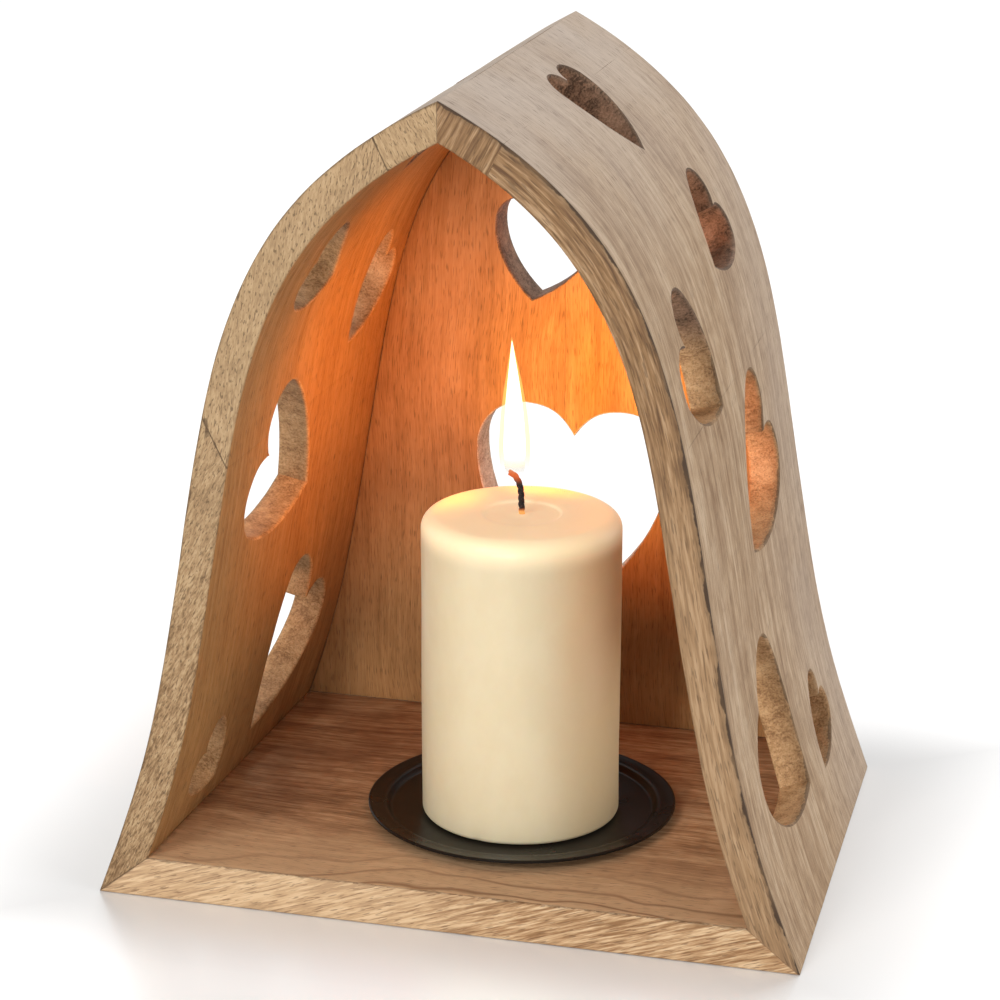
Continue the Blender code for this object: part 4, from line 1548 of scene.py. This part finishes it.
@dataclass
class Candle:
    """The pillar of wax, its wick and its flame."""

    turning: ShapeTree
    centre: Pair = (0.0086, -0.0169)
    seat: float = 0.0161
    radius: float = 0.035
    height: float = 0.110
    shoulder: float = 0.0055
    foot: float = 0.0018
    pool_radius: float = 0.0138
    pool_depth: float = 0.0007
    bore: float = 0.0014
    nick: Triple = (-0.0068, -0.0345, 0.0)
    nick_reach: float = 0.0022
    nick_depth: float = 0.0008
    unevenness: Pair = (0.00022, 0.00006)
    shrink: float = 0.00018
    strand: float = 0.00062
    strand_spread: float = 0.00052
    strand_turns: float = 11.0
    wick_bends: tuple[Pair, ...] = (
        (0.0, -0.060), (0.0, -0.004), (-0.0002, 0.004), (-0.0003, 0.0075),
        (-0.0008, 0.0105), (-0.0020, 0.0130), (-0.0034, 0.0143), (-0.0046, 0.0146))
    flame_body: tuple[Pair, ...] = (
        (0.1360, 0.0010), (0.1375, 0.0026), (0.1400, 0.0040), (0.1440, 0.0049),
        (0.1500, 0.0051), (0.1570, 0.0047), (0.1640, 0.0040), (0.1700, 0.0031),
        (0.1760, 0.0021), (0.1810, 0.0012), (0.1850, 0.0005))
    flame_ends: Pair = (0.1352, 0.1872)
    flame_run: float = 0.051
    flame_shift: float = 0.0026
    flame_lean: float = 0.0012

    def wax_profile(self) -> list[Pair]:
        """Half section of the wax, from the bore underneath to the bore on top."""
        r, h = self.radius, self.height
        points = [(self.bore, 0.0), (r - self.foot - 0.002, 0.0)]
        for i in range(7):
            a = -math.pi / 2 + i / 6 * math.pi / 2
            points.append((r - self.foot + self.foot * math.cos(a),
                           self.foot + self.foot * math.sin(a)))
        for i in range(1, 24):
            points.append((r, self.foot + (h - self.shoulder - self.foot) * i / 24))
        for i in range(11):
            a = i / 10 * math.pi / 2
            points.append((r - self.shoulder + self.shoulder * math.cos(a),
                           h - self.shoulder + self.shoulder * math.sin(a)))
        run = r - self.shoulder - self.pool_radius
        for i in range(1, 6):
            points.append((r - self.shoulder - run * i / 6, h))
        for i in range(5):
            fall = (1 - math.cos(i / 4 * math.pi)) / 2
            points.append((self.pool_radius + 0.0005 - 0.0014 * i / 4, h - fall * self.pool_depth))
        for i in range(1, 6):
            points.append((self.pool_radius - 0.001 - (self.pool_radius - 0.004) * i / 6,
                           h - self.pool_depth))
        points.append((self.bore + 0.0012, h - self.pool_depth + 0.0001))
        points.append((self.bore, h - self.pool_depth + 0.0003))
        points.append((self.bore, h / 2))
        return points

    def build_wax(self, finish: Material) -> Piece:
        """Turns the wax, then dents it as a poured pillar is dented.

        Args:
            finish: the wax.

        Returns:
            The wax.
        """
        shape = turned_shape(self.turning, "wax", self.wax_profile(), 144, finish, closed=True)
        nick, (broad, small) = Vector(self.nick), self.unevenness
        for vert in shape.verts:
            out = Vector((vert.co.x, vert.co.y, 0.0))
            wave = noise.noise(vert.co * 22) * broad + noise.noise(vert.co * 70) * small
            if out.length > self.radius * 0.7:
                vert.co += out.normalized() * (wave - self.shrink)
            elif vert.co.z > self.height / 2 and out.length > 0.003:
                vert.co.z += wave * 0.8 - 0.0001
            near = (vert.co - nick).length
            if near < self.nick_reach:
                vert.co += -out.normalized() * self.nick_depth * (1 - near / self.nick_reach)
            vert.co += Vector((*self.centre, self.seat))
        piece = finished_piece("wax_pillar", shape, finish, 60.0)
        settle(piece, "candle", "wax", "candle_wax")
        return piece

    def build_wick(self, finish: Material) -> Piece:
        """Twists the wick from three strands and bends its free end.

        Args:
            finish: the burnt cotton.

        Returns:
            The wick.
        """
        x, y = self.centre
        top = self.seat + self.height - self.pool_depth
        route = [(x + dx, y, top + dz) for dx, dz in self.wick_bends]
        mesh = twisting_tree().run("wick", line_mesh("wick_line", smoothed(route)), {
            "Strand radius": self.strand, "Spread": self.strand_spread,
            "Turns": self.strand_turns, "Finish": finish})
        piece = finished_piece("twisted_wick", edit_copy(mesh), finish, 60.0)
        settle(piece, "candle", "wick", "candle_wick")
        return piece

    def build_flame(self) -> list[Piece]:
        """Turns the flame's layers, each leaning a little.

        Returns:
            The core and the veil round it.
        """
        low, high = self.flame_ends
        start = self.flame_body[0][0]
        pieces = []
        for layer, grow, rise in ((FlameLayer.CORE, 0.74, 0.0), (FlameLayer.VEIL, 1.05, 0.0012)):
            finish = FlameFinish(layer).material()
            rows = [(0.0, low), *((r * grow, z) for z, r in self.flame_body), (0.0, high + rise)]
            shape = turned_shape(self.turning, layer.value[0], smoothed(rows), 40, finish)
            for vert in shape.verts:
                lean = (vert.co.z - start) / self.flame_run
                vert.co.x += self.centre[0] - self.flame_shift - self.flame_lean * lean * lean
                vert.co.y += self.centre[1]
            piece = finished_piece(layer.value[0], shape, finish, 180.0)
            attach(piece, "candle")
            LOG.info("%s: %d polygons", piece.name, len(piece.data.polygons))
            pieces.append(piece)
        return pieces


def smoothed(points: Sequence[Sequence[float]], steps: int = 6) -> list[tuple[float, ...]]:
    """A smooth line through the given points, both ends kept."""
    rows = np.array(points, float)
    padded = np.vstack([2 * rows[0] - rows[1], rows, 2 * rows[-1] - rows[-2]])
    line = []
    for a, b, c, d in zip(padded, padded[1:], padded[2:], padded[3:]):
        for t in np.linspace(0.0, 1.0, steps, endpoint=False):
            line.append(0.5 * (2 * b + (c - a) * t + (2 * a - 5 * b + 4 * c - d) * t**2
                               + (3 * b - a - 3 * c + d) * t**3))
    line.append(rows[-1])
    return [tuple(float(v) for v in p) for p in line]


@dataclass
class Studio:
    """Floor, backdrop, lamps and camera."""

    camera_place: Triple = (0.26857, -1.01879, 0.46527)
    yaw: float = -0.261173
    pitch: float = 0.312848
    roll: float = 0.003243
    lens: float = 113.655
    flame: Triple = (0.008, -0.0120, 0.152)
    floor_reach: float = 6.0
    floor_drop: float = 0.0002
    # Floor glow by distance from the object: low near it as painted shadow, white further out.
    floor_white_past_painted_shadow: tuple[float, float, float, float] = (0.092, 0.150, 0.07, 0.40)
    world_light: float = 0.30

    def build(self) -> None:
        """Sets the whole studio up."""
        self.world()
        self.floor()
        self.lamp("key", (-0.60, -1.60, 1.30), (0.0, 0.0, 0.1), 0.8, 14.0, (1.0, 0.98, 0.95))
        self.lamp("low_key", (-0.16, -2.0, 0.36), (0.0, 0.0, 0.1), 0.4, 15.5, (1.0, 0.98, 0.95))
        self.lamp("side", (2.25, -0.50, 0.55), (0.0, 0.0, 0.12), 2.2, 32.0, (1.0, 1.0, 1.0))
        self.lamp("top", (0.0, 1.15, 2.0), (0.0, 0.0, 0.1), 0.9, 15.0, (1.0, 1.0, 1.0))
        self.flame_light("flame_to_back", (0.05, 1.0, -0.05), 130.0, 0.48, (1.0, 0.23, 0.0))
        self.flame_light("flame_near", (0.12, 1.0, 0.0), 85.0, 0.32, (1.0, 0.62, 0.03))
        self.flame_light("flame_to_left", (-1.0, 0.10, 0.08), 130.0, 0.60, (1.0, 0.30, 0.0))
        self.flame_light("flame_to_right", (1.0, 0.10, 0.30), 135.0, 0.06, (1.0, 0.38, 0.02))
        self.flame_light("flame_around", (0.0, 0.0, 1.0), 180.0, 0.12, (1.0, 0.40, 0.08))
        self.camera()
        bpy.context.scene.view_settings.view_transform = "Standard"

    def world(self) -> None:
        """White where the camera sees it, and softer as a light."""
        world = bpy.data.worlds.new("studio")
        bpy.context.scene.world = world
        world.use_nodes = True
        t = NodeTree(world.node_tree)
        background = t.nodes["Background"]
        background.inputs["Color"].default_value = (1.0, 1.0, 1.0, 1.0)
        path = t.node("ShaderNodeLightPath")
        seen = t.math("MAXIMUM", path.outputs["Is Camera Ray"], path.outputs["Is Glossy Ray"])
        strength = t.node("ShaderNodeMapRange", {"Value": seen, "To Min": self.world_light})
        t.put(background.inputs["Strength"], strength.outputs["Result"])

    def floor(self) -> None:
        """A pale floor that keeps the shadow, with painted shadow near the object where its glow is
        kept low.
        """
        shape = bmesh.new()
        size = self.floor_reach
        corners = [(-size, -size, 0.0), (size, -size, 0.0), (size, size, 0.0), (-size, size, 0.0)]
        shape.faces.new([shape.verts.new(c) for c in corners])
        f = Finish("studio_floor")
        f.set(Base_Color=(0.80, 0.80, 0.80, 1.0), Roughness=0.26, IOR=2.2,
              Emission_Color=(1.0, 1.0, 1.0, 1.0))
        path = f.node("ShaderNodeLightPath")
        x, y, _ = f.split(f.place())
        away = f.math("MAXIMUM", f.times(f.math("ABSOLUTE", x), 0.75),
                      f.math("ABSOLUTE", y))
        # Painted shadow: the floor's white glow stays low near the object and rises further out.
        white_past_painted_shadow = f.between(away, *self.floor_white_past_painted_shadow)
        f.set(Emission_Strength=f.times(path.outputs["Is Camera Ray"], white_past_painted_shadow))
        floor = finished_piece("studio_floor", shape, f.material)
        floor.location.z = -self.floor_drop

    def light(self, name: str, kind: str, place: Sequence[float], way: Sequence[float],
              power: float, colour: Colour, **settings) -> Piece:
        """Adds one light at a place, which shines in a direction."""
        data = bpy.data.lights.new(name, kind)
        for key, value in {"energy": power, "color": colour, **settings}.items():
            setattr(data, key, value)
        light = linked(name, data)
        light.location = place
        light.rotation_euler = Vector(way).to_track_quat("-Z", "Y").to_euler()
        return light

    def lamp(self, name: str, place: Sequence[float], aim: Sequence[float], size: float,
             power: float, colour: Colour) -> None:
        """Adds one soft lamp, aimed at a point."""
        way = Vector(aim) - Vector(place)
        self.light(name, "AREA", place, way, power, colour, shape="DISK", size=size)

    def flame_light(self, name: str, way: Sequence[float], cone: float, power: float,
                    colour: Colour) -> None:
        """Adds one share of the flame's light, which goes where the candle goes.

        Args:
            name: the lamp's name.
            way: the direction that it shines in.
            cone: the angle of its cone in degrees.
            power: its power in watts.
            colour: its colour.
        """
        light = self.light(name, "SPOT", self.flame, way, power, colour,
                           spot_size=math.radians(cone), spot_blend=0.8, shadow_soft_size=0.006)
        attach(light, "candle")

    def camera(self) -> None:
        """Stands the camera where the photograph was taken from."""
        forward = Vector((math.sin(self.yaw) * math.cos(self.pitch),
                          math.cos(self.yaw) * math.cos(self.pitch), -math.sin(self.pitch)))
        level = Vector((math.cos(self.yaw), -math.sin(self.yaw), 0.0))
        upward = level.cross(forward)
        right = level * math.cos(self.roll) + upward * math.sin(self.roll)
        up = upward * math.cos(self.roll) - level * math.sin(self.roll)
        data = bpy.data.cameras.new("camera")
        data.sensor_width = 36.0
        data.lens = self.lens
        turn = Matrix((right, up, -forward)).transposed().to_4x4()
        camera = linked("camera", data)
        camera.matrix_world = Matrix.Translation(self.camera_place) @ turn
        bpy.context.scene.camera = camera


# Woods of the pieces

OUTER = Tones((0.25, 0.145, 0.075), (0.43, 0.285, 0.165), (0.58, 0.425, 0.28))
# Inner faces of the walls: tones tinted orange as painted light from the flame.
INNER = Tones((0.22, 0.10, 0.032), (0.38, 0.195, 0.068), (0.50, 0.285, 0.115))
CUT = Tones((0.27, 0.14, 0.06), (0.48, 0.28, 0.13), (0.61, 0.39, 0.205))
LEFT_WOOD = WoodFinish(
    "left_wall_wood", OUTER, INNER,
    edge=Tones((0.17, 0.095, 0.042), (0.32, 0.20, 0.10), (0.45, 0.31, 0.17)),
    cut=CUT, painted_shade_from=(0.215, 0.235), grey_share=0.8, arris=0.55,
    high_pale=0.45, pale_span=(0.08, 0.22), seam_show=0.75)
RIGHT_WOOD = WoodFinish(
    "right_wall_wood", OUTER, INNER,
    edge=Tones((0.105, 0.05, 0.02), (0.235, 0.13, 0.056), (0.40, 0.26, 0.145)),
    cut=CUT, high_pale=0.35, pale_span=(0.20, 0.12), grey_share=0.8, arris=1.0,
    arris_width=0.0006, arris_painted_shade=0.3, arris_outer=1.0, stroke=(60.0, 900.0),
    stroke_contrast=0.26, edge_pores=0.45, edge_dash=(160.0, 1700.0))
BASE_WOOD = WoodFinish(
    "base_wood",
    outer=Tones((0.24, 0.115, 0.052), (0.46, 0.25, 0.12), (0.66, 0.43, 0.245)),
    inner=OUTER,
    edge=Tones((0.27, 0.14, 0.06), (0.47, 0.29, 0.15), (0.66, 0.47, 0.285)),
    contrast=(0.42, 0.58), pore=(0.13, 0.065, 0.03),
    cut=CUT, arris=0.45, stroke=(75.0, 1000.0), stroke_contrast=0.18, edge_pores=0.55,
    edge_dash=(190.0, 2100.0), blotches=0.4,
    high_pale=0.4, pale_span=(0.03, -0.03),
    ring_lines=1.0, painted_front_light=0.75, seam_show=0.7)
BACK_WOOD = WoodFinish(
    "back_wood",
    # Front face of the back: tones tinted orange as painted light from the flame.
    outer=Tones((0.20, 0.09, 0.028), (0.40, 0.20, 0.07), (0.52, 0.29, 0.115)),
    inner=OUTER,
    edge=Tones((0.15, 0.08, 0.04), (0.3, 0.18, 0.1), (0.42, 0.28, 0.17)),
    cut=Tones((0.30, 0.21, 0.14), (0.54, 0.42, 0.32), (0.74, 0.64, 0.53)),
    painted_shade_cut=Tones((0.12, 0.07, 0.04), (0.28, 0.17, 0.105), (0.44, 0.29, 0.19)),
    painted_shade_from=(0.150, 0.165), arris=0.4,
    contrast=(0.32, 0.68), blotches=0.3)


def main() -> None:
    """Builds every sub-assembly in order and reports each piece."""
    logging.basicConfig(level=logging.INFO, format="%(name)s: %(message)s")
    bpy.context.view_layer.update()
    arch = ArchShape()
    walls = Walls(arch)
    walls.build({Side.LEFT: LEFT_WOOD.material(), Side.RIGHT: RIGHT_WOOD.material()})
    BaseBoard(arch, walls).build(BASE_WOOD.material())
    Back(arch).build(BACK_WOOD.material())
    Pins(arch, walls).build(SteelFinish().material())
    turning = turning_tree()
    Dish(turning).build(DishFinish().material())
    candle = Candle(turning)
    candle.build_wax(WaxFinish().material())
    candle.build_wick(WickFinish().material())
    candle.build_flame()
    Studio().build()


if __name__ == "__main__":
    main()
